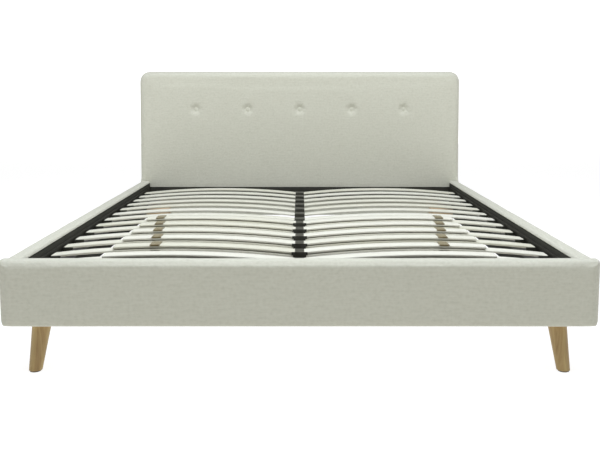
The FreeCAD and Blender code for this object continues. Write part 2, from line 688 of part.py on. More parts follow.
LEDGE_REACH = "(ledge_wall + tube_play + tube_size)"
LEDGE_HIGH = "(ledge_wall + ledge_rise)"
SIDE_LEDGE_SPAN = "(%s - (%s) - 2 * (%s))" % (HEAD_FACE, BOARD_INNER_FOOT, LEDGE_REACH)
SIDE_LEDGE_START = "%s + %s" % (BOARD_INNER_FOOT, LEDGE_REACH)
left_angle = [("0", "0"), (LEDGE_REACH, "0"), (LEDGE_REACH, "ledge_wall"), ("ledge_wall", "ledge_wall"),
              ("ledge_wall", LEDGE_HIGH), ("0", LEDGE_HIGH)]
back_of_wall = "(tube_play + tube_size)"
right_angle = [("0", "0"), (LEDGE_REACH, "0"), (LEDGE_REACH, LEDGE_HIGH), (back_of_wall, LEDGE_HIGH),
               (back_of_wall, "ledge_wall"), ("0", "ledge_wall")]
ledge("ledge_left", "XZ_Plane", left_angle, SIDE_LEDGE_SPAN,
      ("-" + BOARD_INNER_X, SIDE_LEDGE_START, LEDGE_BOTTOM))
ledge("ledge_right", "XZ_Plane", right_angle, SIDE_LEDGE_SPAN,
      ("%s - %s" % (BOARD_INNER_X, LEDGE_REACH), SIDE_LEDGE_START, LEDGE_BOTTOM))
ledge("ledge_foot", "YZ_Plane", left_angle, "2 * " + BOARD_INNER_X,
      ("-" + BOARD_INNER_X, BOARD_INNER_FOOT, LEDGE_BOTTOM))
ledge("ledge_head", "YZ_Plane", right_angle, "2 * " + BOARD_INNER_X,
      ("-" + BOARD_INNER_X, "%s - %s" % (HEAD_FACE, LEDGE_REACH), LEDGE_BOTTOM))

# ---------------------------------------------------------------- slats
# Each bank is a slice of a bowed ring: the bow's centre lies far below the bed.


def ring(name, side, low_radius, high_radius):
    """A ring about a bank's bow line, between two radii."""
    centre = ("%d * %s" % (side, SLAT_MIDDLE), FOOT_FACE, BOW_CENTRE)
    outer = cylinder(name + "Outer", centre, "+Y", high_radius, "bed_length")
    inner = cylinder(name + "Inner", centre, "+Y", low_radius, "bed_length")
    return cut(name, outer, inner)


def row_boxes(name, side, rows, inner, outer, half_wide, low, high):
    """One box for each row of a bank, between two distances from the bed's middle."""
    members = []
    for row in rows:
        middle = "%s + row_first + %d * row_pitch" % (FOOT_FACE, row)
        left, right = (inner, outer) if side > 0 else ("-(%s)" % outer, "-(%s)" % inner)
        members.append(box("%s%d" % (name, row),
                           (left, "%s - (%s)" % (middle, half_wide), low),
                           (right, "%s + (%s)" % (middle, half_wide), high)))
    return group(name, members)


EVERY_ROW = range(int(size("row_count")))
DOUBLE_ROWS = range(int(size("double_rows")))
LOWER_TOP = BOW_RADIUS
UPPER_TOP = "(%s + slat_space + slat_thick)" % BOW_RADIUS
SIDES = (("left", -1), ("right", 1))
FAR_BELOW = "slat_end - 100"
FAR_ABOVE = "slat_end + 100"


def bowed_slats(name, side, rows, ends, radii, play):
    """The slats of a bank, all rows at once, grown by a play on every side."""
    band = ring(name + "Ring", side, "%s - (%s)" % (radii[0], play), "%s + (%s)" % (radii[1], play))
    blocks = row_boxes(name + "Boxes", side, rows, "%s - (%s)" % (ends[0], play),
                       "%s + (%s)" % (ends[1], play), "slat_wide / 2 + (%s)" % play,
                       FAR_BELOW, FAR_ABOVE)
    return common(name, blocks, band)


SLAT_KINDS = (
    ("slats", EVERY_ROW, ("slat_inner", "slat_outer"), (LOWER_TOP + " - slat_thick", LOWER_TOP)),
    ("upper_slats", DOUBLE_ROWS, ("upper_inner", "upper_outer"), (LOWER_TOP + " + slat_space", UPPER_TOP)),
)
slat_rooms = []
for bank, side in SIDES:
    for kind, rows, ends, radii in SLAT_KINDS:
        label = "%s_%s" % (kind, bank)
        node(label, bowed_slats("Wood_" + label, side, rows, ends, radii, "0"))
        slat_rooms.append(bowed_slats("Room_" + label, side, rows, ends, radii, "holder_play"))
slat_room = group("SlatRoom", slat_rooms)

# ---------------------------------------------------------------- slat holders
# Black plastic shoes, each with a peg that snaps into the steel tube under it.

HOLDER_HALF = "(slat_wide / 2 + holder_wall)"
PEG_START = "tube_top - peg_length"
peg_groups = {}


def holder_pegs(name, across):
    pegs = []
    for row in EVERY_ROW:
        middle = "%s + row_first + %d * row_pitch" % (FOOT_FACE, row)
        pegs.append(cylinder("%sPeg%d" % (name, row), (across, middle, PEG_START), "+Z",
                             "peg_radius", "peg_length"))
    return pegs


TUBE_INNER = "(%s - ledge_wall - tube_play - tube_size)" % BOARD_INNER_X
TUBE_OUTER = "(%s - ledge_wall - tube_play)" % BOARD_INNER_X
for bank, side in SIDES:
    blocks = row_boxes("SideHolderBoxes" + bank, side, EVERY_ROW, "slat_outer - side_grip",
                       "slat_outer + side_back", HOLDER_HALF, "tube_top", "slat_end - side_lip")
    pegs = holder_pegs("SideHolder" + bank, "%d * (%s + tube_size / 2)" % (side, TUBE_INNER))
    shoes = []
    for row in EVERY_ROW:
        shoes.append(fuse("SideShoe%s%d" % (bank, row), [blocks.Links[row], pegs[row]]))
    peg_groups[bank] = group("SidePegs" + bank, pegs)
    node("side_holders_" + bank, cut("SideHolders" + bank, group("SideShoes" + bank, shoes), slat_room))

# The middle holders take both banks; beside an upper slat they have a wider, taller pair of ears.
middle_pegs = holder_pegs("MiddleHolder", "0")
peg_groups["middle"] = group("MiddlePegs", middle_pegs)
middle_shoes = []
for row in EVERY_ROW:
    middle = "%s + row_first + %d * row_pitch" % (FOOT_FACE, row)
    near = "%s - %s" % (middle, HOLDER_HALF)
    far = "%s + %s" % (middle, HOLDER_HALF)
    members = [middle_pegs[row],
               box("MiddleBlock%d" % row, ("-middle_half", near, "tube_top"),
                   ("middle_half", far, "slat_end + slat_space"))]
    if row in DOUBLE_ROWS:
        members.append(box("MiddleEars%d" % row, ("-ear_half", near, "slat_end + 0.5 * slat_space"),
                           ("ear_half", far, "slat_end + slat_space + slat_thick")))
    middle_shoes.append(fuse("MiddleShoe%d" % row, members))
middle_blank = group("MiddleShoes", middle_shoes)
node("middle_holders", cut("MiddleHolders", middle_blank, slat_room))

# ---------------------------------------------------------------- slat frame
# Square steel tubes, welded where they meet: two long sides, head and foot ends, a middle beam.


def square_tube(name, role, length, place, pegs):
    inner = "(tube_size - tube_wall)"
    outer_loop = [("0", "0"), ("tube_size", "0"), ("tube_size", "tube_size"), ("0", "tube_size")]
    inner_loop = [("tube_wall", "tube_wall"), (inner, "tube_wall"), (inner, inner), ("tube_wall", inner)]
    tube = padded(name + "Tube", role, [outer_loop, inner_loop], length, place)
    return cut(name + "Pierced", tube, pegs) if pegs else tube


TUBE_LOW = "(tube_top - tube_size)"
FOOT_TUBE = "(%s + ledge_wall + tube_play)" % BOARD_INNER_FOOT
HEAD_TUBE = "(%s - ledge_wall - tube_play - tube_size)" % HEAD_FACE
LONG_SPAN = "(%s - (%s) - tube_size)" % (HEAD_TUBE, FOOT_TUBE)
LONG_START = "(%s + tube_size)" % FOOT_TUBE
node("frame_left", square_tube("FrameLeft", "XZ_Plane", LONG_SPAN,
                               ("-" + TUBE_OUTER, LONG_START, TUBE_LOW), peg_groups["left"]))
node("frame_right", square_tube("FrameRight", "XZ_Plane", LONG_SPAN,
                                (TUBE_INNER, LONG_START, TUBE_LOW), peg_groups["right"]))
node("frame_foot", square_tube("FrameFoot", "YZ_Plane", "2 * " + TUBE_OUTER,
                               ("-" + TUBE_OUTER, FOOT_TUBE, TUBE_LOW), None))
node("frame_head", square_tube("FrameHead", "YZ_Plane", "2 * " + TUBE_OUTER,
                               ("-" + TUBE_OUTER, HEAD_TUBE, TUBE_LOW), None))
beam = square_tube("FrameBeam", "XZ_Plane", LONG_SPAN, ("-tube_size / 2", LONG_START, TUBE_LOW),
                   peg_groups["middle"])

# ---------------------------------------------------------------- middle support
# A round steel post under the beam, with a screw foot in a plug at its lower end.

POST_PLACE = "((%s) + (%s) + tube_size) / 2" % (FOOT_TUBE, HEAD_TUBE)
post_screws = []
for end in (-1, 1):
    start = ("0", "%s + (%d) * (post_radius + plate_hole / 3)" % (POST_PLACE, end),
             "%s - post_flange - wood_head_thick" % TUBE_LOW)
    post_screws.append(screw("PostScrew%d" % (end + 1), start, "+Z", "wood_screw_radius",
                             "post_flange + tube_size / 2", "wood_head_radius", "wood_head_thick"))
beam_screws = node("post_screws", group("PostScrews", post_screws))
node("frame_beam", cut("FrameBeamDrilled", beam, beam_screws))

post_outer = cylinder("PostOuter", ("0", POST_PLACE, "post_bottom"), "+Z", "post_radius",
                      "%s - post_bottom" % TUBE_LOW)
post_inner = cylinder("PostInner", ("0", POST_PLACE, "post_bottom"), "+Z", "post_radius - post_wall",
                      "%s - post_bottom - post_flange" % TUBE_LOW)
flange = box("PostFlange",
             ("-tube_size / 2", "%s - post_radius - plate_hole * 2 / 3" % POST_PLACE,
              "%s - post_flange" % TUBE_LOW),
             ("tube_size / 2", "%s + post_radius + plate_hole * 2 / 3" % POST_PLACE, TUBE_LOW))
post_blank = fuse("PostBlank", [post_outer, flange])
post_tube = cut("PostTube", post_blank, post_inner)
node("middle_post", cut("MiddlePost", post_tube, beam_screws))

plug_bar = cylinder("PlugBar", ("0", POST_PLACE, "post_bottom"), "+Z", "post_radius - post_wall",
                    "plug_long")
plug_hole = cylinder("PlugHole", ("0", POST_PLACE, "post_bottom"), "+Z", "thread_radius + thread_play",
                     "plug_long")
node("post_plug", cut("PostPlug", plug_bar, plug_hole))

foot_disc = cylinder("FootDisc", ("0", POST_PLACE, "0"), "+Z", "foot_radius", "foot_thick")
foot_thread = cylinder("FootThread", ("0", POST_PLACE, "0"), "+Z", "thread_radius",
                       "foot_thick + thread_length")
node("screw_foot", fuse("ScrewFoot", [foot_disc, foot_thread]))

# ---------------------------------------------------------------- firmness sliders
# Plastic clips round a lower and an upper slat.  Each follows the bow, so its walls are slices of
# rings about the bow line.  The side towards the foot is open, with two small hooks.

SLIDER_ROWS = range(1, int(size("double_rows")))
for bank, side in SIDES:
    low_play = "(%s - slat_thick - slider_play)" % LOWER_TOP
    high_play = "(%s + slider_play)" % UPPER_TOP
    walls = ring("SliderWalls" + bank, side, low_play + " - slider_wall", high_play + " + slider_wall")
    cavity = ring("SliderCavity" + bank, side, low_play, high_play)
    mouth = ring("SliderMouth" + bank, side, low_play + " + slider_hook", high_play + " - slider_hook")
    half = "(slat_wide / 2 + slider_play)"
    for row in SLIDER_ROWS:
        middle = "(%s + row_first + %d * row_pitch)" % (FOOT_FACE, row)
        across = "%d * (slider_first + %d * slider_step)" % (side, row - 1)
        left = "%s - slider_wide / 2" % across
        right = "%s + slider_wide / 2" % across
        name = "Slider%s%d" % (bank, row)
        block = box(name + "Block", (left, "%s - %s - slider_wall" % (middle, half), FAR_BELOW),
                    (right, "%s + %s + slider_wall" % (middle, half), FAR_ABOVE))
        room = box(name + "Room", (left + " - 5", "%s - %s" % (middle, half), FAR_BELOW),
                   (right + " + 5", "%s + %s" % (middle, half), FAR_ABOVE))
        gate = box(name + "Gate", (left + " - 5", "%s - %s - 5" % (middle, half), FAR_BELOW),
                   (right + " + 5", middle, FAR_ABOVE))
        inner = common(name + "Inner", room, cavity)
        sleeve = cut(name + "Sleeve", common(name + "Body", block, walls), inner)
        node("slider_%s_%d" % (bank, row), cut(name, sleeve, common(name + "Opening", gate, mouth)))

# ---------------------------------------------------------------- check and write

doc.recompute()
failed = [obj.Name for obj in doc.Objects if {"Invalid", "Error"} & set(obj.State)]
if failed:
    raise RuntimeError("failed features: %s" % ", ".join(failed))
for part in NODES:
    if part.Shape.isNull() or not part.Shape.isValid() or not part.Shape.Solids:
        raise RuntimeError("bad shape: " + part.Label)

os.makedirs("parts", exist_ok=True)
for part in NODES:
    part.Shape.exportStep("parts/%s.step" % part.Label)
print("%d nodes" % len(NODES))
for part in NODES:
    bounds = part.Shape.BoundBox
    print("%-22s %3d solids  %10.0f mm3  x %.1f..%.1f  y %.1f..%.1f  z %.1f..%.1f" % (
        part.Label, len(part.Shape.Solids), part.Shape.Volume, bounds.XMin, bounds.XMax,
        bounds.YMin, bounds.YMax, bounds.ZMin, bounds.ZMax))
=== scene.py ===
"""The finished look of an upholstered double bed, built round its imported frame.

Metres.  +X is to the right seen from the foot end, +Y runs from foot to head, +Z is up.
"""
import math
import bmesh
import bpy
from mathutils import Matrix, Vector, noise


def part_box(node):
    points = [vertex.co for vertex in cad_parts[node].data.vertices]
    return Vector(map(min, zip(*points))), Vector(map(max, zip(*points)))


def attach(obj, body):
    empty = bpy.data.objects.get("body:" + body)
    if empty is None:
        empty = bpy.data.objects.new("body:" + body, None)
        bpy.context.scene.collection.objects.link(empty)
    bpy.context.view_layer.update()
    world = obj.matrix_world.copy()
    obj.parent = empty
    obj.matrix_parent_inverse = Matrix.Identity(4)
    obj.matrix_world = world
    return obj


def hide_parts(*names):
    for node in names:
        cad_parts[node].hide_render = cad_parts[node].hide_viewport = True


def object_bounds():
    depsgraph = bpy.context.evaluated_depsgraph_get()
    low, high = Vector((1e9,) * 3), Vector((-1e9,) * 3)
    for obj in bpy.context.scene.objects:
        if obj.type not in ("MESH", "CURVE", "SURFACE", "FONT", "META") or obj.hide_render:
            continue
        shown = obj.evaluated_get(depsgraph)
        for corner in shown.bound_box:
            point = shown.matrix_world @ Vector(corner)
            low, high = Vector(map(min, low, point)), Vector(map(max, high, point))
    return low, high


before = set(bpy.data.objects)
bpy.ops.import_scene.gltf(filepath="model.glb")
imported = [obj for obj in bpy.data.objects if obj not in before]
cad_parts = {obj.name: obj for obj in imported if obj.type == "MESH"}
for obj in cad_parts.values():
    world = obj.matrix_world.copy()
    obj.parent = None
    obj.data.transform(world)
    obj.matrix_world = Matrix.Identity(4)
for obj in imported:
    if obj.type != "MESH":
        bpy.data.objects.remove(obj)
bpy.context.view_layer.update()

# ---------------------------------------------------------------- timber boards
# Sawn pine boards stiffen the rails, the foot panel and the headboard, and a square pine block
# is glued and bolted into each corner.  All of it is unfinished and hidden by the padding.


def new_finish(name, colour, rough, metal=0.0):
    """A material with one shader; colours are linear."""
    finish = bpy.data.materials.new(name)
    finish.use_nodes = True
    shader = finish.node_tree.nodes["Principled BSDF"]
    shader.inputs["Base Color"].default_value = (*colour, 1.0)
    shader.inputs["Roughness"].default_value = rough
    shader.inputs["Metallic"].default_value = metal
    return finish


def texture(finish, kind, feed=None, **values):
    """A shader node fed through its first socket, with its sockets or settings given by name."""
    item = finish.node_tree.nodes.new("ShaderNode" + kind)
    for name, value in values.items():
        label = name.replace("_", " ")
        if label in item.inputs:
            item.inputs[label].default_value = value
        else:
            setattr(item, name, value)
    if feed is not None:
        finish.node_tree.links.new(feed, item.inputs[0])
    return item


def spread(finish, scale):
    """Object coordinates, stretched to the run of a grain."""
    place = texture(finish, "TexCoord").outputs["Object"]
    return texture(finish, "Mapping", place, Scale=scale).outputs[0]


def tones(finish, factor, stops):
    """Colours along a factor, as (place, colour) stops, fed to the shader's base colour."""
    ramp = texture(finish, "ValToRGB", factor)
    band = ramp.color_ramp
    while len(band.elements) < len(stops):
        band.elements.new(0.5)
    for element, (place, colour) in zip(band.elements, stops):
        element.position = place
        element.color = (*colour, 1.0)
    shader = finish.node_tree.nodes["Principled BSDF"]
    finish.node_tree.links.new(ramp.outputs[0], shader.inputs["Base Color"])


def relief(finish, height, strength, distance):
    """A bump on top of any that the shader already has."""
    shader = finish.node_tree.nodes["Principled BSDF"]
    bump = texture(finish, "Bump", Strength=strength, Distance=distance)
    finish.node_tree.links.new(height, bump.inputs["Height"])
    for link in shader.inputs["Normal"].links:
        finish.node_tree.links.new(link.from_socket, bump.inputs["Normal"])
    finish.node_tree.links.new(bump.outputs[0], shader.inputs["Normal"])


def wear(finish, factor, low, high):
    """Roughness that varies between two values along a factor."""
    span = texture(finish, "MapRange", factor, To_Min=low, To_Max=high)
    shader = finish.node_tree.nodes["Principled BSDF"]
    finish.node_tree.links.new(span.outputs[0], shader.inputs["Roughness"])


def coat(finish, *nodes):
    """Give a finish to nodes of the frame."""
    for name in nodes:
        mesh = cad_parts[name].data
        mesh.materials.clear()
        mesh.materials.append(finish)


def sawn_pine(name, scale):
    """Pine with its grain along the axis of the smallest scale."""
    pine = new_finish(name, (0.60, 0.42, 0.24), 0.8)
    place = spread(pine, scale)
    rings = texture(pine, "TexNoise", place, Scale=1.0, Detail=4.0, Roughness=0.55,
                    Distortion=0.8)
    tones(pine, rings.outputs[0], [(0.30, (0.47, 0.30, 0.15)), (0.52, (0.64, 0.46, 0.27)),
                                   (0.75, (0.70, 0.54, 0.34))])
    fuzz = texture(pine, "TexNoise", place, Scale=9.0, Detail=3.0)
    relief(pine, fuzz.outputs[0], 0.5, 0.0006)
    wear(pine, fuzz.outputs[0], 0.7, 0.95)
    return pine


coat(sawn_pine("pine_long", (38.0, 1.3, 38.0)), "rail_left_board", "rail_right_board")
coat(sawn_pine("pine_cross", (1.3, 38.0, 38.0)), "foot_board", "headboard_board",
     "corner_blocks")

# ---------------------------------------------------------------- side rails
# Foam is glued over the outer face and top of each rail board, and a slub-woven off-white cloth
# is drawn tight over it, stapled under the board and turned down over the inner top edge.

THREAD = 0.0024         # one thread and its gap
THREAD_BANDS = math.pi / 10 / THREAD
cloth = new_finish("slub_woven_cloth", (0.556, 0.558, 0.456), 0.92)
weave_place = texture(cloth, "UVMap", uv_map="Cloth").outputs[0]
warp = texture(cloth, "TexWave", weave_place, wave_type="BANDS", bands_direction="X",
               Scale=THREAD_BANDS, Distortion=0.6, Detail=1.0, Detail_Scale=0.4)
weft = texture(cloth, "TexWave", weave_place, wave_type="BANDS", bands_direction="Y",
               Scale=THREAD_BANDS, Distortion=0.6, Detail=1.0, Detail_Scale=0.4)
over_under = texture(cloth, "TexChecker", weave_place, Scale=2 / THREAD)
weave = texture(cloth, "Mix", over_under.outputs[1])
cloth.node_tree.links.new(warp.outputs[1], weave.inputs[2])
cloth.node_tree.links.new(weft.outputs[1], weave.inputs[3])
slub_run = texture(cloth, "Mapping", weave_place, Scale=(24.0, 150.0, 1.0))
slubs = texture(cloth, "TexNoise", slub_run.outputs[0], Scale=1.0, Detail=3.0, Roughness=0.6)
nap_run = texture(cloth, "Mapping", weave_place, Scale=(95.0, 95.0, 1.0))
nap = texture(cloth, "TexNoise", nap_run.outputs[0], Scale=1.0, Detail=2.0, Roughness=0.5)
pull_run = texture(cloth, "Mapping", weave_place, Scale=(7.0, 9.0, 1.0))
pulls = texture(cloth, "TexNoise", pull_run.outputs[0], Scale=1.0, Detail=2.0)
both = texture(cloth, "Math", slubs.outputs[0], operation="ADD")
cloth.node_tree.links.new(nap.outputs[0], both.inputs[1])
flecks = texture(cloth, "Math", both.outputs[0], operation="MULTIPLY")
flecks.inputs[1].default_value = 0.5
tones(cloth, flecks.outputs[0], [(0.30, (0.508, 0.504, 0.405)), (0.50, (0.561, 0.557, 0.455)),
                                 (0.72, (0.600, 0.596, 0.497))])
relief(cloth, pulls.outputs[0], 0.35, 0.004)
relief(cloth, flecks.outputs[0], 0.55, 0.0022)
relief(cloth, weave.outputs[0], 0.45, 0.0005)
cloth_shader = cloth.node_tree.nodes["Principled BSDF"]
cloth_shader.inputs["Sheen Weight"].default_value = 0.25
cloth_shader.inputs["Sheen Roughness"].default_value = 0.5
cloth_shader.inputs["Specular IOR Level"].default_value = 0.15


def softened(corners, rounds, gap):
    """A path through square corners, each rounded, with points no further apart than a gap."""
    places = [Vector(corner) for corner in corners]
    path = [places[0]]
    for before, corner, after, radius in zip(places, places[1:], places[2:], rounds):
        back = (before - corner).normalized()
        ahead = (after - corner).normalized()
        entry = corner + back * radius
        run = entry - path[-1]
        count = max(1, math.ceil(run.length / gap))
        path += [path[-1] + run * (step / count) for step in range(1, count + 1)]
        middle = corner + (back + ahead) * radius
        for step in range(1, 6):
            angle = step / 5 * math.pi / 2
            path.append(middle - (ahead * math.cos(angle) + back * math.sin(angle)) * radius)
    run = places[-1] - path[-1]
    count = max(1, math.ceil(run.length / gap))
    path += [path[-1] + run * (step / count) for step in range(1, count + 1)]
    return path


def new_piece(name, points, faces, finish, flat=None):
    """A mesh piece; flat gives each point's place on the uncut cloth."""
    mesh = bpy.data.meshes.new(name)
    mesh.from_pydata([tuple(point) for point in points], [], faces)
    work = bmesh.new()
    work.from_mesh(mesh)
    bmesh.ops.recalc_face_normals(work, faces=work.faces)
    work.to_mesh(mesh)
    work.free()
    if flat:
        layer = mesh.uv_layers.new(name="Cloth")
        spots = [flat[loop.vertex_index][axis] for loop in mesh.loops for axis in (0, 1)]
        layer.data.foreach_set("uv", spots)
    mesh.materials.append(finish)
    mesh.shade_smooth()
    piece = bpy.data.objects.new(name, mesh)
    bpy.context.scene.collection.objects.link(piece)
    return piece


SETTLED = 20            # simulation steps until the cloth rests on the foam


def swell(piece, held, pressure, reach):
    """Let the foam press the cloth outwards, up to a reach, between the points that are held."""
    group = piece.vertex_groups.new(name="held")
    group.add(held, 1.0, "REPLACE")
    blown = piece.modifiers.new("Swell", "CLOTH")
    blown.settings.vertex_group_mass = "held"
    blown.settings.quality = 4
    blown.settings.mass = 0.35
    blown.settings.tension_stiffness = 25
    blown.settings.compression_stiffness = 25
    blown.settings.shear_stiffness = 8
    blown.settings.bending_stiffness = 1.5
    blown.settings.use_pressure = True
    blown.settings.uniform_pressure_force = pressure
    blown.settings.effector_weights.gravity = 0
    blown.collision_settings.use_collision = False
    blown.point_cache.frame_start = 1
    blown.point_cache.frame_end = SETTLED
    for moment in range(1, SETTLED + 1):
        bpy.context.scene.frame_set(moment)
    shaped = piece.evaluated_get(bpy.context.evaluated_depsgraph_get()).to_mesh()
    places = [point.co.copy() for point in shaped.vertices]
    piece.to_mesh_clear()
    piece.modifiers.remove(blown)
    piece.vertex_groups.remove(group)
    bpy.context.scene.frame_set(1)
    normals = [point.normal.copy() for point in piece.data.vertices]
    for point, normal, place in zip(piece.data.vertices, normals, places):
        push = (place - point.co).dot(normal)
        if push > 0:
            point.co += normal * (reach * math.tanh(push / reach))


def refine(piece):
    """Subdivide once for good, then close any cavity behind the padding with a flat face."""
    soft = piece.modifiers.new("Soft", "SUBSURF")
    soft.levels = 1
    soft.render_levels = 1
    view = bpy.context.evaluated_depsgraph_get()
    mesh = bpy.data.meshes.new_from_object(piece.evaluated_get(view), depsgraph=view)
    piece.modifiers.remove(soft)
    work = bmesh.new()
    work.from_mesh(mesh)
    rim = [edge for edge in work.edges if edge.is_boundary]
    if rim:
        bmesh.ops.edgeloop_fill(work, edges=rim)
    bmesh.ops.recalc_face_normals(work, faces=work.faces)
    work.to_mesh(mesh)
    work.free()
    mesh.shade_smooth()
    piece.data = mesh


def crease(piece, lines):
    """Keep the edges between these points sharp through the subdivision."""
    sharp = set(lines)
    layer = piece.data.attributes.new("crease_edge", "FLOAT", "EDGE")
    for edge in piece.data.edges:
        if edge.vertices[0] in sharp and edge.vertices[1] in sharp:
            layer.data[edge.index].value = 1.0


FOAM_SET = 0.001        # the cloth starts this far inside its face, then swells out
CLOTH_STEP = 0.014      # between points round a rail
STATIONS = 150          # along a rail
CLOTH_REACH = 0.003     # the most that the foam pushes it out
CLOTH_PRESSURE = 4.0
HEM_DROP = 0.012        # the cloth turns down this far over the inner edge
LUMP = 0.0011           # the foam is this uneven

for hand, side in (("left", -1), ("right", 1)):
    low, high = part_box("rail_%s_cover" % hand)
    wood_low, wood_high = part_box("rail_%s_board" % hand)
    outer = max(abs(low.x), abs(high.x))
    inner = min(abs(low.x), abs(high.x))
    board_in = min(abs(wood_low.x), abs(wood_high.x))
    board_out = max(abs(wood_low.x), abs(wood_high.x))
    hem = high.z - HEM_DROP
    face, crown = outer - FOAM_SET, high.z - FOAM_SET / 2
    section = softened([(board_in, low.z), (face, low.z), (face, crown), (inner, crown),
                        (inner, hem)], [0.007, 0.016, 0.011], CLOTH_STEP)
    around = len(section)
    section += [Vector(place) for place in ((board_in, hem), (board_out, hem),
                                            (board_out, wood_low.z), (board_in, wood_low.z))]
    run = [0.0]
    for start, end in zip(section, section[1:]):
        run.append(run[-1] + (end - start).length)
    ring = len(section)
    points, flat = [], []
    for station in range(STATIONS):
        along = low.y + (high.y - low.y) * station / (STATIONS - 1)
        for number, place in enumerate(section):
            lift = 0.0
            if 2 <= number < around - 2:
                spot = Vector((side * 3.1 + place.x * 14, along * 8, place.y * 14))
                lift = LUMP * noise.noise(spot)
            points.append((side * (place.x + lift), along, place.y + lift * 0.5))
            flat.append((along, run[number]))
    faces = [(station * ring + number, station * ring + (number + 1) % ring,
              (station + 1) * ring + (number + 1) % ring, (station + 1) * ring + number)
             for station in range(STATIONS - 1) for number in range(ring)]
    faces.append(tuple(range(ring)))
    faces.append(tuple((STATIONS - 1) * ring + number for number in range(ring)))
    padding = new_piece("rail_%s_padding" % hand, points, faces, cloth, flat)
    hidden = [station * ring + number for station in range(STATIONS) for number in range(ring)
              if number < 2 or number >= around - 1 or station in (0, STATIONS - 1)]
    swell(padding, hidden, CLOTH_PRESSURE, CLOTH_REACH)
    crease(padding, [index for index in range(len(points))
                     if index % ring >= around - 1 or index % ring == 0])
    refine(padding)
    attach(padding, "bed")
    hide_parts("rail_%s_cover" % hand, "rail_%s_foam" % hand)

# ---------------------------------------------------------------- foot panel
# A board across the foot end, padded and covered like the rails.  The cloth is sewn at both ends,
# with an upright seam just round from each corner, and stapled underneath.


def on_outline(across, up, half, low, high, corner, under=0.0):
    """Where shares of width and height land in an outline with rounded top and lower corners."""
    x, z = across * half, low + up * (high - low)
    if under > 0:
        right = (abs(x) - (half - under)) / under
        below = (low + under - z) / under
        if right > 0 and below > 0:
            reach = max(right, below) / math.hypot(right, below) * under
            return math.copysign(half - under + right * reach, x), low + under - below * reach
    if corner > 0:
        right = (abs(x) - (half - corner)) / corner
        above = (z - (high - corner)) / corner
        if right > 0 and above > 0:
            reach = max(right, above) / math.hypot(right, above) * corner
            x = math.copysign(half - corner + right * reach, x)
            z = high - corner + above * reach
    return x, z


def shares(low, high, gap, fine):
    """Places from low to high, a gap apart, closer inside each (middle, half, gap) of fine."""
    places = [low]
    while places[-1] < high:
        here = places[-1]
        step = gap
        for middle, half, closer in fine:
            if abs(here - middle) < half or (here < middle - half < here + gap):
                step = min(step, closer)
        places.append(here + step)
    reach = places[-1] - low
    return [low + (place - low) / reach * (high - low) for place in places]


def padded_panel(name, columns, rows, loops, finish, under=0.0):
    """A panel: a front face of columns and rows, then loops that run round its edge to the back.

    Each loop is (half width, low, high, corner radius, y).  The last one is left open.
    Returns the piece, the count of front points and the points round one loop.
    """
    half, low, high, corner, depth = loops[0]
    points, flat = [], []
    shares_up = [(z - low) / (high - low) for z in rows]
    for up in shares_up:
        for x in columns:
            spot = on_outline(x / half, up, half, low, high, corner, under)
            points.append((spot[0], depth, spot[1]))
            flat.append(spot)
    wide, tall = len(columns), len(rows)
    faces = [(here, here + 1, here + wide + 1, here + wide)
             for row in range(tall - 1) for here in range(row * wide, row * wide + wide - 1)]
    rim = [(col, 0) for col in range(wide)] + [(wide - 1, row) for row in range(1, tall)]
    rim += [(col, tall - 1) for col in range(wide - 2, -1, -1)]
    rim += [(0, row) for row in range(tall - 2, 0, -1)]
    last = [row * wide + col for col, row in rim]
    travelled = 0.0
    for before, loop in zip(loops, loops[1:]):
        travelled += max(math.dist((before[0], before[4]), (loop[0], loop[4])), 0.0005)
        fresh = []
        for col, row in rim:
            across, up = columns[col] / half, shares_up[row]
            x, z = on_outline(across, up, *loop[:4], under)
            fresh.append(len(points))
            points.append((x, loop[4], z))
            away = Vector((across if abs(across) > 0.999 else 0.0,
                           (up - 0.5) * 2 if up in (0.0, 1.0) else 0.0))
            away = away.normalized() * travelled
            flat.append((columns[col] + away.x, rows[row] + away.y))
        count = len(rim)
        faces += [(last[step], fresh[step], fresh[(step + 1) % count], last[(step + 1) % count])
                  for step in range(count)]
        last = fresh
    return new_piece(name, points, faces, finish, flat), wide * tall, len(rim)


def edge_loops(half, low, high, corner, front, radius, steps, foot):
    """Loops that round a panel's front edge; foot is the lower edge's share of the radius."""
    loops = []
    for step in range(steps + 1):
        angle = step / steps * math.pi / 2
        inset = radius * (1 - math.sin(angle))
        loops.append((half - inset, low + inset * foot, high - inset, max(corner - inset, 0.001),
                      front + radius * (1 - math.cos(angle))))
    return loops


END_CORNER = 0.006
END_ROUND = 0.019
INNER_ROUND = 0.009
END_GRID = (0.0145, 0.0135)
SEAM_GROOVE = (0.0022, 0.0032)      # its depth, and its half width
FLARE = 0.0035                      # the padding widens by this share to its top

low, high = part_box("foot_cover")
wood_low, wood_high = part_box("foot_board")
seam = high.x - 0.017
half = high.x
front = low.y + FOAM_SET
top = high.z + 0.0015
base = low.z - 0.004
hem = high.z - HEM_DROP
loops = edge_loops(half, base, top, END_CORNER, front, END_ROUND, 6, 0.4)
loops.append((half, base, top, END_CORNER, (front + high.y) / 2))
for step in range(4):
    angle = step / 3 * math.pi / 2
    inset = INNER_ROUND * (1 - math.cos(angle))
    loops.append((half - inset * 0.3, base, top - inset, END_CORNER,
                  high.y - INNER_ROUND * (1 - math.sin(angle))))
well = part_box("rail_right_lining")[0].x
loops += [(well, wood_low.z, hem, 0.001, high.y),
          (well, wood_low.z, hem, 0.001, high.y - 0.002),
          (wood_high.x, wood_low.z, wood_high.z, 0.001, high.y - 0.002),
          (wood_high.x, wood_low.z, wood_high.z, 0.001, wood_low.y)]
columns = shares(-loops[0][0], loops[0][0], END_GRID[0],
                 [(-seam, 0.008, 0.004), (seam, 0.008, 0.004)])
rows = shares(loops[0][1], loops[0][2], END_GRID[1], [])
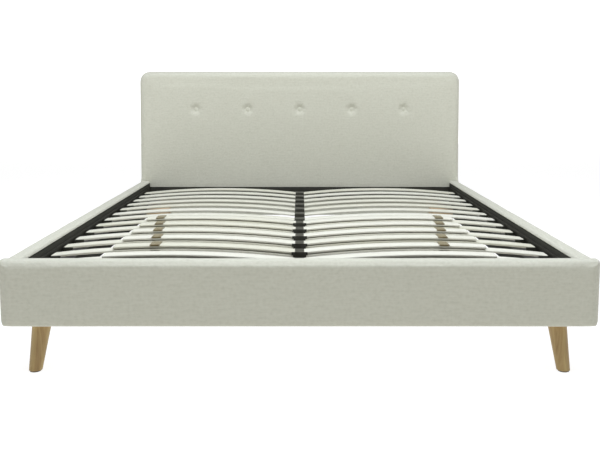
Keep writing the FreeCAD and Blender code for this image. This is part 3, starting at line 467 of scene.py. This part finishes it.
foot_padding, front_points, rim_points = padded_panel("foot_padding", columns, rows, loops,
                                                      cloth, under=0.012)
foot_mesh = foot_padding.data
for point in foot_mesh.vertices:
    if point.index < front_points + rim_points * 8:     # the face, its edge and the top
        ripple = noise.noise(Vector((point.co.x * 8, 5.3, point.co.z * 13)))
        point.co.y += 0.0012 * ripple if point.co.y < front + 0.004 else 0.0
        point.co.z += 0.0009 * ripple if point.co.z > top - 0.004 else 0.0
hidden = list(range(front_points + rim_points * 10, len(foot_mesh.vertices)))
swell(foot_padding, hidden, CLOTH_PRESSURE, CLOTH_REACH)
for point in foot_mesh.vertices:
    if point.co.y < front + 0.012:
        gap = abs(abs(point.co.x) - seam)
        point.co.y += SEAM_GROOVE[0] * math.exp(-(gap / SEAM_GROOVE[1]) ** 2)
    if point.index < hidden[0]:
        point.co.x *= 1 + FLARE * (point.co.z - base) / (top - base)
crease(foot_padding, list(range(front_points + rim_points * 11, len(foot_mesh.vertices))))
refine(foot_padding)
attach(foot_padding, "bed")
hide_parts("foot_cover", "foot_foam")

# ---------------------------------------------------------------- headboard
# Thick foam lies over the headboard's face under the same cloth.  Five covered buttons are drawn
# through it on twine, each in a small dimple, and the cloth is stapled round the back.

button_low, button_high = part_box("headboard_buttons")
BUTTON_PITCH = 0.28
BUTTONS = [step * BUTTON_PITCH for step in range(-2, 3)]
BUTTON_Z = (button_low.z + button_high.z) / 2
HEAD_CORNER = 0.052
EDGE_ROUND = 0.034
HEAD_GRID = 0.0155
DIMPLE_GRID = (0.052, 0.0058)       # points lie closer inside this radius, by this gap
DIMPLE_DEEP = 0.0082
PLEAT = 0.0006

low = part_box("headboard_cover")[0]
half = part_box("foot_cover")[1].x + 0.0035
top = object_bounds()[1][2]
front = low.y + FOAM_SET
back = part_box("headboard_board")[1].y
base = low.z - 0.001
loops = edge_loops(half, base, top, HEAD_CORNER, front, EDGE_ROUND, 8, 0.04)
side_start, side_run = front + EDGE_ROUND, back - front - EDGE_ROUND - 0.004
loops += [(half, base, top, HEAD_CORNER, side_start + side_run * step / 4)
          for step in range(1, 5)]
loops += [(half - inset, base + lift, top - inset, HEAD_CORNER - inset, depth)
          for inset, lift, depth in ((0.0015, 0.0, back + 0.0002), (0.032, 0.03, back + 0.0002),
                                     (0.032, 0.03, back + 0.0001), (0.002, 0.003, back + 0.0001),
                                     (0.002, 0.003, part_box("headboard_foam")[1].y))]
columns = shares(-loops[0][0], loops[0][0], HEAD_GRID, [(x, *DIMPLE_GRID) for x in BUTTONS])
rows = shares(loops[0][1], loops[0][2], HEAD_GRID, [(BUTTON_Z, *DIMPLE_GRID)])
head_padding, front_points, rim_points = padded_panel("headboard_padding", columns, rows,
                                                      loops, cloth)
head_mesh = head_padding.data
tied = list(range(front_points + rim_points * 12, len(head_mesh.vertices)))
rail_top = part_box("rail_right_cover")[1].z
for point in head_mesh.vertices:
    across, ahead = abs(point.co.x) - (half - EDGE_ROUND), front + EDGE_ROUND - point.co.y
    square = min(1.0, max(0.0, (rail_top + 0.016 - point.co.z) / 0.02))
    if across > 0 and ahead > 0 and square > 0 and point.index < tied[0]:
        grow_by = 1 + square * (math.hypot(across, ahead) / max(across, ahead) - 1)
        point.co.x = math.copysign(half - EDGE_ROUND + across * grow_by, point.co.x)
        point.co.y = front + EDGE_ROUND - ahead * grow_by
    if point.co.z < rail_top - 0.025 and point.index < tied[0]:
        tied.append(point.index)


def from_button(place):
    """Distance to the nearest button's middle, and the angle round it."""
    middle = min(BUTTONS, key=lambda x: abs(place.x - x))
    away = (place.x - middle, place.z - BUTTON_Z)
    return math.hypot(*away), math.atan2(away[1], away[0])


swell(head_padding, tied, 3.0, 0.002)
for point in head_mesh.vertices[:front_points]:
    distance, angle = from_button(point.co)
    edge = min(half - abs(point.co.x), top - point.co.z)
    lump = noise.noise(Vector((point.co.x * 6, 1.7, point.co.z * 6)))
    point.co.y += 0.0012 * lump * min(1.0, edge / 0.08)
    point.co.y += DIMPLE_DEEP * math.exp(-(max(0.0, distance - 0.013) / 0.0125) ** 1.4)
    fold = math.sin(7 * angle + 1.3 * math.sin(point.co.x * 9))
    point.co.y += PLEAT * fold * math.exp(-((distance - 0.024) / 0.010) ** 2)
crease(head_padding, list(range(front_points + rim_points * 13, len(head_mesh.vertices))))
refine(head_padding)
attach(head_padding, "bed")
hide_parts("headboard_cover", "headboard_foam")

# ---------------------------------------------------------------- covered buttons
# Each button is a domed steel shell with the same cloth pressed over it, sitting in its dimple.


def grown(name, build, finish, **sizes):
    """Run a Geometry Nodes tree made by build and keep the result as a plain mesh piece."""
    sizes = {label.replace("_", " ").capitalize(): value for label, value in sizes.items()}
    tree = bpy.data.node_groups.new(name, "GeometryNodeTree")
    tree.interface.new_socket("Geometry", in_out="INPUT", socket_type="NodeSocketGeometry")
    tree.interface.new_socket("Geometry", in_out="OUTPUT", socket_type="NodeSocketGeometry")
    for label, value in sizes.items():
        kind = {int: "NodeSocketInt", float: "NodeSocketFloat",
                tuple: "NodeSocketVector"}[type(value)]
        tree.interface.new_socket(label, in_out="INPUT", socket_type=kind)
    shape = build(tree, tree.nodes.new("NodeGroupInput").outputs)
    solid = grow(tree, "RealizeInstances", shape)
    dressed = grow(tree, "SetMaterial", solid.outputs[0])
    dressed.inputs["Material"].default_value = finish
    tree.links.new(dressed.outputs[0], tree.nodes.new("NodeGroupOutput").inputs[0])
    base = bpy.data.objects.new(name + "_seed", bpy.data.meshes.new(name + "_seed"))
    bpy.context.scene.collection.objects.link(base)
    made = base.modifiers.new("Make", "NODES")
    made.node_group = tree
    for socket in tree.interface.items_tree:
        if socket.in_out == "INPUT" and socket.name in sizes:
            value = sizes[socket.name]
            made[socket.identifier] = list(value) if isinstance(value, tuple) else value
    view = bpy.context.evaluated_depsgraph_get()
    mesh = bpy.data.meshes.new_from_object(base.evaluated_get(view), depsgraph=view)
    mesh.name = name
    base.modifiers.remove(made)
    bpy.data.objects.remove(base)
    mesh.materials.clear()
    mesh.materials.append(finish)
    piece = bpy.data.objects.new(name, mesh)
    bpy.context.scene.collection.objects.link(piece)
    return piece


def grow(tree, kind, *feeds, **values):
    """A Geometry Nodes node, fed in the order of its sockets."""
    families = {"RandomValue": "FunctionNode", "Math": "ShaderNode", "CombineXYZ": "ShaderNode",
                "SeparateXYZ": "ShaderNode"}
    item = tree.nodes.new(families.get(kind, "GeometryNode") + kind)
    for name, value in values.items():
        label = name.replace("_", " ")
        if label in item.inputs and not hasattr(value, "is_output"):
            item.inputs[label].default_value = value
        elif label in item.inputs:
            tree.links.new(value, item.inputs[label])
        else:
            setattr(item, name, value)
    for socket, feed in zip(item.inputs, feeds):
        if feed is not None:
            tree.links.new(feed, socket)
    return item


def joined(tree, item, values):
    """Feed sockets or numbers to a node, and give its first output."""
    for socket, value in zip(item.inputs, values):
        if hasattr(value, "is_output"):
            tree.links.new(value, socket)
        else:
            socket.default_value = value
    return item.outputs[0]


def sum_up(tree, operation, first, second=0.0):
    """One arithmetic step between two sockets or numbers."""
    return joined(tree, grow(tree, "Math", operation=operation), (first, second))


def triple(tree, x=0.0, y=0.0, z=0.0):
    """A vector of sockets or numbers."""
    return joined(tree, grow(tree, "CombineXYZ"), (x, y, z))


def button_row(tree, size):
    """Flattened balls, half of each sunk in its dimple."""
    ball = grow(tree, "MeshUVSphere", Segments=28, Rings=16, Radius=1.0)
    dome = grow(tree, "Transform", ball.outputs[0])
    tree.links.new(triple(tree, size["Radius"], size["Dome"], size["Radius"]), dome.inputs["Scale"])
    smooth = grow(tree, "SetShadeSmooth", dome.outputs[0])
    row = grow(tree, "MeshLine", Count=size["Count"], Start_Location=size["First"],
               Offset=triple(tree, size["Pitch"]))
    set_out = grow(tree, "InstanceOnPoints", row.outputs[0], Instance=smooth.outputs[0])
    real = grow(tree, "RealizeInstances", set_out.outputs[0])
    spot = grow(tree, "SeparateXYZ", grow(tree, "InputPosition").outputs[0])
    lay = grow(tree, "StoreNamedAttribute", real.outputs[0], data_type="FLOAT2", domain="CORNER",
               Name="Cloth", Value=triple(tree, spot.outputs[0], spot.outputs[2]))
    return lay.outputs[0]


buttons = grown("covered_buttons", button_row, cloth, Count=len(BUTTONS), Radius=0.0155,
                Dome=0.0068, Pitch=BUTTON_PITCH, First=(BUTTONS[0], button_low.y + 0.003, BUTTON_Z))
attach(buttons, "bed")
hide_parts("headboard_buttons")

# ---------------------------------------------------------------- slats
# Two banks of bent, glued birch slats, faced with cream foil and rounded along their edges.  Each
# bows upwards, and the six rows nearest the foot carry a shorter second slat on top.

foil = new_finish("cream_foil_birch", (0.64, 0.63, 0.525), 0.55)
foil.node_tree.nodes["Principled BSDF"].inputs["Specular IOR Level"].default_value = 0.3
foil_place = spread(foil, (2.2, 55.0, 55.0))
veins = texture(foil, "TexNoise", foil_place, Scale=1.0, Detail=5.0, Roughness=0.6, Distortion=0.4)
batch = texture(foil, "Attribute", attribute_name="tone", attribute_type="GEOMETRY")
blend = texture(foil, "Math", veins.outputs[0], operation="MULTIPLY_ADD")
blend.inputs[1].default_value = 0.55
foil.node_tree.links.new(batch.outputs["Fac"], blend.inputs[2])
tones(foil, blend.outputs[0], [(0.20, (0.57, 0.56, 0.435)), (0.50, (0.64, 0.63, 0.525)),
                               (0.85, (0.68, 0.67, 0.575))])
relief(foil, veins.outputs[0], 0.25, 0.0006)
wear(foil, veins.outputs[0], 0.46, 0.62)


def slat_bank(tree, size):
    """Rows of one slat: an eased strip swept along the bow's arc, each with a tone of its own."""
    half_thick = sum_up(tree, "MULTIPLY", size["Thick"], 0.5)
    ring = sum_up(tree, "SUBTRACT", size["Bow radius"], half_thick)
    swings = []
    for end in ("Right end", "Left end"):
        out = sum_up(tree, "SUBTRACT", size[end], size["Bow middle"])
        swings.append(sum_up(tree, "ARCCOSINE", sum_up(tree, "DIVIDE", out, ring)))
    arc = grow(tree, "CurveArc", mode="RADIUS", Resolution=31, Radius=ring, Start_Angle=swings[0],
               Sweep_Angle=sum_up(tree, "SUBTRACT", swings[1], swings[0]))
    across = grow(tree, "CurvePrimitiveQuadrilateral", Width=size["Thick"], Height=size["Wide"])
    eased = grow(tree, "FilletCurve", across.outputs[0], mode="POLY", Count=3, Radius=size["Edge"])
    level = grow(tree, "SetCurveNormal", arc.outputs[0], mode="Z_UP")
    slat = grow(tree, "CurveToMesh", level.outputs[0], eased.outputs[0], Fill_Caps=True)
    stood = grow(tree, "Transform", slat.outputs[0], Rotation=(math.pi / 2, 0.0, 0.0))
    placed = grow(tree, "Transform", stood.outputs[0],
                  Translation=triple(tree, size["Bow middle"], 0.0, size["Bow centre"]))
    smooth = grow(tree, "SetShadeSmooth", placed.outputs[0])
    rows = grow(tree, "MeshLine", Count=size["Rows"],
                Start_Location=triple(tree, 0.0, size["First row"]),
                Offset=triple(tree, 0.0, size["Row pitch"]))
    laid = grow(tree, "InstanceOnPoints", rows.outputs[0], Instance=smooth.outputs[0])
    chance = grow(tree, "RandomValue", data_type="FLOAT", Seed=size["Batch"])
    chance.inputs[2].default_value = -0.02
    chance.inputs[3].default_value = 0.48
    marked = grow(tree, "StoreNamedAttribute", laid.outputs[0], data_type="FLOAT",
                  domain="INSTANCE", Name="tone", Value=chance.outputs[1])
    return marked.outputs[0]


SLAT_WIDE = 0.053
SLAT_THICK = 0.008
SLAT_EDGE = 0.0034      # the radius of its long edges
SLAT_RISE = 0.022       # the bow's height
SLAT_GAP = 0.003        # between a slat and the one on top
SLAT_SHORT = 0.0005     # cut this much short at each end
ROW_PITCH = 0.141
lower_low, lower_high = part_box("slats_right")
bow_half = (lower_high.x - lower_low.x) / 2
bow_radius = (bow_half ** 2 + SLAT_RISE ** 2) / (2 * SLAT_RISE)
bow_middle = (lower_high.x + lower_low.x) / 2
bow_centre = lower_high.z - bow_radius
for layer, rows, lift in (("slats", 13, 0.0), ("upper_slats", 6, SLAT_THICK + SLAT_GAP)):
    for hand, side in (("left", -1), ("right", 1)):
        low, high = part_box(layer + "_" + hand)
        bank = grown(layer + "_" + hand + "_bowed", slat_bank, foil, Rows=rows,
                     Left_end=low.x + SLAT_SHORT, Right_end=high.x - SLAT_SHORT,
                     Bow_middle=side * bow_middle, Bow_radius=bow_radius + lift,
                     Bow_centre=bow_centre, Thick=SLAT_THICK, Wide=SLAT_WIDE, Edge=SLAT_EDGE,
                     First_row=low.y + SLAT_WIDE / 2, Row_pitch=ROW_PITCH,
                     Batch=7 + side + rows)
        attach(bank, "bed")
        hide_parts(layer + "_" + hand)

# ---------------------------------------------------------------- oak legs
# Four turned, tapered oak legs lean out towards their corners and are finished with clear oil.

oak = new_finish("oiled_oak", (0.37, 0.26, 0.10), 0.45)
oak_place = spread(oak, (34.0, 34.0, 2.6))
figure = texture(oak, "TexNoise", oak_place, Scale=1.0, Detail=6.0, Roughness=0.62, Distortion=0.9)
tones(oak, figure.outputs[0], [(0.30, (0.225, 0.127, 0.036)), (0.46, (0.357, 0.238, 0.085)),
                               (0.60, (0.432, 0.312, 0.122)), (0.78, (0.481, 0.361, 0.156))])
pore_place = spread(oak, (420.0, 420.0, 14.0))
pores = texture(oak, "TexNoise", pore_place, Scale=1.0, Detail=2.0)
relief(oak, pores.outputs[0], 0.4, 0.0006)
wear(oak, figure.outputs[0], 0.36, 0.55)
coat(oak, "leg_front_left", "leg_front_right", "leg_back_left", "leg_back_right")

# ---------------------------------------------------------------- steel frame and ledges
# Square tubes, welded into a frame with a middle beam, drop into folded angles that are screwed
# to the rails.  All are sprayed with a fine black powder coat.

powder = new_finish("black_powder_coat", (0.025, 0.024, 0.017), 0.5)
grit = texture(powder, "TexNoise", spread(powder, (900.0, 900.0, 900.0)), Scale=1.0, Detail=2.0)
relief(powder, grit.outputs[0], 0.35, 0.0004)
film = texture(powder, "TexNoise", spread(powder, (14.0, 14.0, 14.0)), Scale=1.0, Detail=3.0)
wear(powder, film.outputs[0], 0.42, 0.62)
tones(powder, film.outputs[0], [(0.3, (0.018, 0.018, 0.012)), (0.7, (0.032, 0.031, 0.021))])
coat(powder, "frame_left", "frame_right", "frame_foot", "frame_head", "frame_beam", "middle_post",
     "ledge_left", "ledge_right", "ledge_foot", "ledge_head", "ledge_screws")

zinc = new_finish("zinc_plate", (0.60, 0.61, 0.62), 0.35, 1.0)
spangle = texture(zinc, "TexVoronoi", spread(zinc, (260.0, 260.0, 260.0)), Scale=1.0)
tones(zinc, spangle.outputs[0], [(0.1, (0.50, 0.51, 0.53)), (0.9, (0.68, 0.69, 0.70))])
wear(zinc, spangle.outputs[0], 0.28, 0.46)
relief(zinc, spangle.outputs[0], 0.1, 0.0003)
coat(zinc, "corner_brackets", "leg_plates", "leg_studs", "leg_plate_screws", "corner_bolts",
     "post_screws")

# ---------------------------------------------------------------- slat holders
# Black moulded shoes hold the slats' ends, snapped by a peg into the steel tube under them.

shoe = new_finish("black_moulded_plastic", (0.030, 0.030, 0.026), 0.42)
pits = texture(shoe, "TexNoise", spread(shoe, (1400.0, 1400.0, 1400.0)), Scale=1.0, Detail=1.0)
relief(shoe, pits.outputs[0], 0.3, 0.0002)
handled = texture(shoe, "TexNoise", spread(shoe, (30.0, 30.0, 30.0)), Scale=1.0, Detail=2.0)
wear(shoe, handled.outputs[0], 0.30, 0.50)
tones(shoe, handled.outputs[0], [(0.3, (0.022, 0.022, 0.015)), (0.7, (0.040, 0.039, 0.029))])
coat(shoe, "middle_holders", "side_holders_left", "side_holders_right", "post_plug", "screw_foot")

# ---------------------------------------------------------------- firmness sliders
# Brown moulded clips slide along five pairs of doubled slats on each side.

clip = new_finish("brown_moulded_plastic", (0.17, 0.13, 0.055), 0.24)
swirl = texture(clip, "TexNoise", spread(clip, (60.0, 60.0, 60.0)), Scale=1.0, Detail=3.0)
tones(clip, swirl.outputs[0], [(0.3, (0.14, 0.105, 0.042)), (0.7, (0.21, 0.165, 0.075))])
clip_grain = texture(clip, "TexNoise", spread(clip, (1200.0, 1200.0, 1200.0)), Scale=1.0)
relief(clip, clip_grain.outputs[0], 0.3, 0.0002)
wear(clip, swirl.outputs[0], 0.18, 0.30)
coat(clip, *["slider_%s_%d" % (hand, number)
             for hand in ("left", "right") for number in range(1, 6)])

# ---------------------------------------------------------------- linings
# Black non-woven cloth closes the inner faces of the rails and the foot panel, and the back of the
# headboard.  It is stapled flat along its edges.

lining = new_finish("black_spunbond_lining", (0.022, 0.022, 0.014), 0.95)
fibres = texture(lining, "TexNoise", spread(lining, (420.0, 420.0, 420.0)), Scale=1.0,
                 Detail=4.0, Roughness=0.7)
bonds = texture(lining, "TexVoronoi", spread(lining, (700.0, 700.0, 700.0)), Scale=1.0)
tones(lining, fibres.outputs[0], [(0.35, (0.012, 0.012, 0.007)), (0.65, (0.033, 0.033, 0.021))])
relief(lining, fibres.outputs[0], 0.5, 0.0006)
relief(lining, bonds.outputs[0], 0.3, 0.0003)

STAPLE_GAP = 0.060
LINING_STEP = 0.016
LINING_THICK = 0.0004


def stretched(name, node, facing, corner=0.0):
    """A sheet stapled flat over a node's place, a little slack between its staples."""
    low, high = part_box(node)
    across = 1 if high.x - low.x < high.y - low.y else 0
    depth = (low[1 - across] + high[1 - across]) / 2
    half = (high[across] - low[across]) / 2 - 0.0005
    middle = (high[across] + low[across]) / 2
    wide, tall = math.ceil(half * 2 / LINING_STEP), math.ceil((high.z - low.z) / LINING_STEP)
    points, flat = [], []
    for row in range(tall + 1):
        for col in range(wide + 1):
            run, z = on_outline(col / wide * 2 - 1, row / tall, half, low.z, high.z, corner)
            edge = min(half - abs(run), z - low.z, high.z - z)
            wave = noise.noise(Vector((run * 9, depth * 5, z * 12)))
            slack = 0.00018 * wave * min(1.0, edge / 0.02)
            slack += 0.0001 * math.sin(run * 2 * math.pi / STAPLE_GAP) * math.exp(-edge / 0.012)
            place = [0.0, 0.0, z]
            place[across] = middle + run
            place[1 - across] = depth + facing * 0.0002 + slack
            points.append(place)
            flat.append((run, z))
    faces = [(here, here + 1, here + wide + 2, here + wide + 1)
             for row in range(tall) for here in range(row * (wide + 1), row * (wide + 1) + wide)]
    sheet = new_piece(name, points, faces, lining, flat)
    if sheet.data.polygons[0].normal[1 - across] * facing < 0:
        sheet.data.flip_normals()
    body = sheet.modifiers.new("Body", "SOLIDIFY")
    body.thickness = LINING_THICK
    body.offset = 0.0
    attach(sheet, "bed")
    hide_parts(node)


stretched("rail_left_backing", "rail_left_lining", 1)
stretched("rail_right_backing", "rail_right_lining", -1)
stretched("foot_backing", "foot_lining", 1)
stretched("headboard_backing", "headboard_back_cloth", 1, HEAD_CORNER - 0.016)

# ---------------------------------------------------------------- staples
# Zinc-plated wire staples fix the cloth under the rails and the foot panel, and the lining round
# the back of the headboard.  Only their crowns show; the legs are in the boards.


def staple_row(tree, size):
    """Bent wire loops in a line, each a little askew."""
    wire = grow(tree, "CurvePrimitiveQuadrilateral", Width=size["Crown"], Height=size["Leg"])
    bent = grow(tree, "FilletCurve", wire.outputs[0], mode="POLY", Count=2, Radius=size["Wire"])
    gauge = grow(tree, "CurvePrimitiveCircle", Resolution=6,
                 Radius=sum_up(tree, "MULTIPLY", size["Wire"], 0.5))
    staple = grow(tree, "CurveToMesh", bent.outputs[0], gauge.outputs["Curve"], Fill_Caps=False)
    sunk = grow(tree, "Transform", staple.outputs[0],
                Translation=triple(tree, 0.0, sum_up(tree, "MULTIPLY", size["Leg"], -0.5)))
    turned = grow(tree, "Transform", sunk.outputs[0], Rotation=size["Facing"])
    smooth = grow(tree, "SetShadeSmooth", turned.outputs[0])
    row = grow(tree, "MeshLine", Count=size["Count"], Start_Location=size["First"],
               Offset=size["Step"])
    sway = grow(tree, "RandomValue", data_type="FLOAT_VECTOR", Seed=3)
    sway.inputs[0].default_value = (-0.03, -0.03, -0.03)
    sway.inputs[1].default_value = (0.03, 0.03, 0.03)
    set_in = grow(tree, "InstanceOnPoints", row.outputs[0], Instance=smooth.outputs[0],
                  Rotation=sway.outputs[0])
    return set_in.outputs[0]


rail_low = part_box("rail_right_board")[0]
under = rail_low.z - 0.0022
rail_in = rail_low.x + 0.012
rail_start = rail_low.y + 0.05
foot_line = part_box("foot_board")[1].y - 0.010
back_low, back_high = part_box("headboard_back_cloth")
back_line = back_high.y + 0.0001
back_half = back_high.x - 0.010
DOWN_ALONG = (-math.pi / 2, 0.0, math.pi / 2)
DOWN_ACROSS = (-math.pi / 2, 0.0, 0.0)
BACK_UP = (0.0, math.pi / 2, math.pi / 2)
BACK_ACROSS = (0.0, 0.0, 0.0)
ALONG = (0.0, STAPLE_GAP, 0.0)
ACROSS = (STAPLE_GAP, 0.0, 0.0)
UP = (0.0, 0.0, STAPLE_GAP)
rows_of_staples = [
    ("rail_left_staples", 32, (-rail_in, rail_start, under), ALONG, DOWN_ALONG),
    ("rail_right_staples", 32, (rail_in, rail_start, under), ALONG, DOWN_ALONG),
    ("foot_staples", 26, (-0.75, foot_line, under), ACROSS, DOWN_ACROSS),
    ("back_top_staples", 27, (-0.78, back_line, back_high.z - 0.010), ACROSS, BACK_ACROSS),
    ("back_foot_staples", 27, (-0.78, back_line, back_low.z + 0.010), ACROSS, BACK_ACROSS),
    ("back_left_staples", 11, (-back_half, back_line, back_low.z + 0.07), UP, BACK_UP),
    ("back_right_staples", 11, (back_half, back_line, back_low.z + 0.07), UP, BACK_UP)]
for name, count, first, step, facing in rows_of_staples:
    row = grown(name, staple_row, zinc, Count=count, First=first, Step=step, Crown=0.011,
                Leg=0.008, Wire=0.0011, Facing=facing)
    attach(row, "bed")

# ---------------------------------------------------------------- felt glides
# A pressed wool disc under each leg keeps the floor from scratches.

felt = new_finish("grey_felt", (0.10, 0.095, 0.085), 1.0)
wool = texture(felt, "TexNoise", spread(felt, (900.0, 900.0, 900.0)), Scale=1.0, Detail=4.0)
tones(felt, wool.outputs[0], [(0.3, (0.07, 0.065, 0.055)), (0.7, (0.16, 0.15, 0.13))])
relief(felt, wool.outputs[0], 0.8, 0.0008)
glide_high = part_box("leg_glides")[1]
GLIDE_ROUND = 0.016
GLIDE_STEPS = 48
GLIDE_RINGS = [(0.55, 0.0), (0.94, 0.0), (1.0, 0.12), (1.0, 0.85), (0.95, 1.0), (0.55, 1.0)]
turns = [step / GLIDE_STEPS * 2 * math.pi for step in range(GLIDE_STEPS)]
points, faces = [], []
for across in (-1, 1):
    for along in (-1, 1):
        centre = Vector((across * (glide_high.x - GLIDE_ROUND),
                         along * (glide_high.y - GLIDE_ROUND), 0.0))
        first = len(points)
        for share, up in GLIDE_RINGS:
            for angle in turns:
                out = Vector((math.cos(angle), math.sin(angle), 0.0))
                fray = 1 - 0.012 * abs(noise.noise(Vector((out.x * 9, out.y * 9, across + up))))
                rise = Vector((0.0, 0.0, glide_high.z * up))
                points.append(centre + out * (GLIDE_ROUND * share * fray) + rise)
        for ring in range(first, len(points) - GLIDE_STEPS, GLIDE_STEPS):
            for step in range(GLIDE_STEPS):
                here, ahead = ring + step, ring + (step + 1) % GLIDE_STEPS
                faces.append((here, ahead, ahead + GLIDE_STEPS, here + GLIDE_STEPS))
        faces.append(tuple(range(first, first + GLIDE_STEPS)))
        faces.append(tuple(range(len(points) - GLIDE_STEPS, len(points))))
felts = new_piece("leg_felts", points, faces, felt)
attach(felts, "bed")
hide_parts("leg_glides")

# ---------------------------------------------------------------- floor, light and camera
# A pale glowing floor with a painted shadow under and behind the bed, where its glow is turned
# down, and a pale wall behind.  One broad soft light hangs overhead, a faint one faces the
# headboard, and the sky is even.

scene = bpy.context.scene
scene.view_settings.view_transform = "Standard"


def stage_plane(name, corners, grey, glow):
    """A flat backdrop of an even grey that gives off a little light."""
    finish = new_finish(name, (grey, grey, grey), 0.9)
    shader = finish.node_tree.nodes["Principled BSDF"]
    shader.inputs["Specular IOR Level"].default_value = 0.0
    shader.inputs["Emission Color"].default_value = (1.0, 1.0, 1.0, 1.0)
    shader.inputs["Emission Strength"].default_value = glow
    plane = new_piece(name, corners, [(0, 1, 2, 3)], finish)
    return finish


paper = stage_plane("studio_floor", [(-14, -10, 0), (14, -10, 0), (14, 9, 0), (-14, 9, 0)],
                    0.3, 0.88)
stage_plane("studio_wall", [(-14, 9, 0), (14, 9, 0), (14, 9, 3.2), (-14, 9, 3.2)], 0.5, 0.98)
# Painted shadow: the floor's glow falls from 0.88 to 0.15 in a soft pool under and behind the bed,
# which also shows dark through the gaps between the slats.
place = texture(paper, "TexCoord").outputs["Object"]
centred = texture(paper, "Mapping", place, Location=(0.0, -0.5, 0.0), Scale=(1.18, 0.95, 1.0))
sides = texture(paper, "SeparateXYZ", centred.outputs[0])
shadow = texture(paper, "Math", operation="ADD")
for axis in (0, 1):
    reach = texture(paper, "Math", sides.outputs[axis], operation="ABSOLUTE")
    power = texture(paper, "Math", reach.outputs[0], operation="POWER")
    power.inputs[1].default_value = 5.0
    paper.node_tree.links.new(power.outputs[0], shadow.inputs[axis])
painted_shadow_glow = texture(paper, "MapRange", shadow.outputs[0], From_Min=0.15, From_Max=1.4, To_Min=0.15,
               To_Max=0.88, interpolation_type="SMOOTHSTEP")
paper_shader = paper.node_tree.nodes["Principled BSDF"]
paper.node_tree.links.new(painted_shadow_glow.outputs[0], paper_shader.inputs["Emission Strength"])

sky = bpy.data.worlds.new("even_sky")
sky.use_nodes = True
sky.node_tree.nodes["Background"].inputs["Color"].default_value = (1.0, 0.985, 0.94, 1.0)
sky.node_tree.nodes["Background"].inputs["Strength"].default_value = 0.21
scene.world = sky


def soft_light(name, wide, deep, power, colour, place, tilt):
    """A rectangular area light."""
    lamp = bpy.data.lights.new(name, "AREA")
    lamp.shape = "RECTANGLE"
    lamp.size, lamp.size_y = wide, deep
    lamp.energy = power
    lamp.color = colour
    light = bpy.data.objects.new(name, lamp)
    light.location = place
    light.rotation_euler = (tilt, 0.0, 0.0)
    scene.collection.objects.link(light)


soft_light("overhead", 4.5, 2.6, 190, (0.83, 0.88, 1.0), (0.0, -1.15, 3.6), 0.0)
soft_light("head_glow", 2.4, 1.2, 12, (1.0, 0.98, 0.93), (0.0, -0.9, 1.9), math.atan2(1.9, 1.45))

eye = bpy.data.cameras.new("eye")
eye.sensor_width = 36
eye.lens = 48.1
eye.shift_y = -0.143
camera = bpy.data.objects.new("eye", eye)
camera.location = (0.0015, -3.327, 0.820)
camera.rotation_euler = (math.radians(90 - 3.47), 0.0, 0.0)
scene.collection.objects.link(camera)
scene.camera = camera
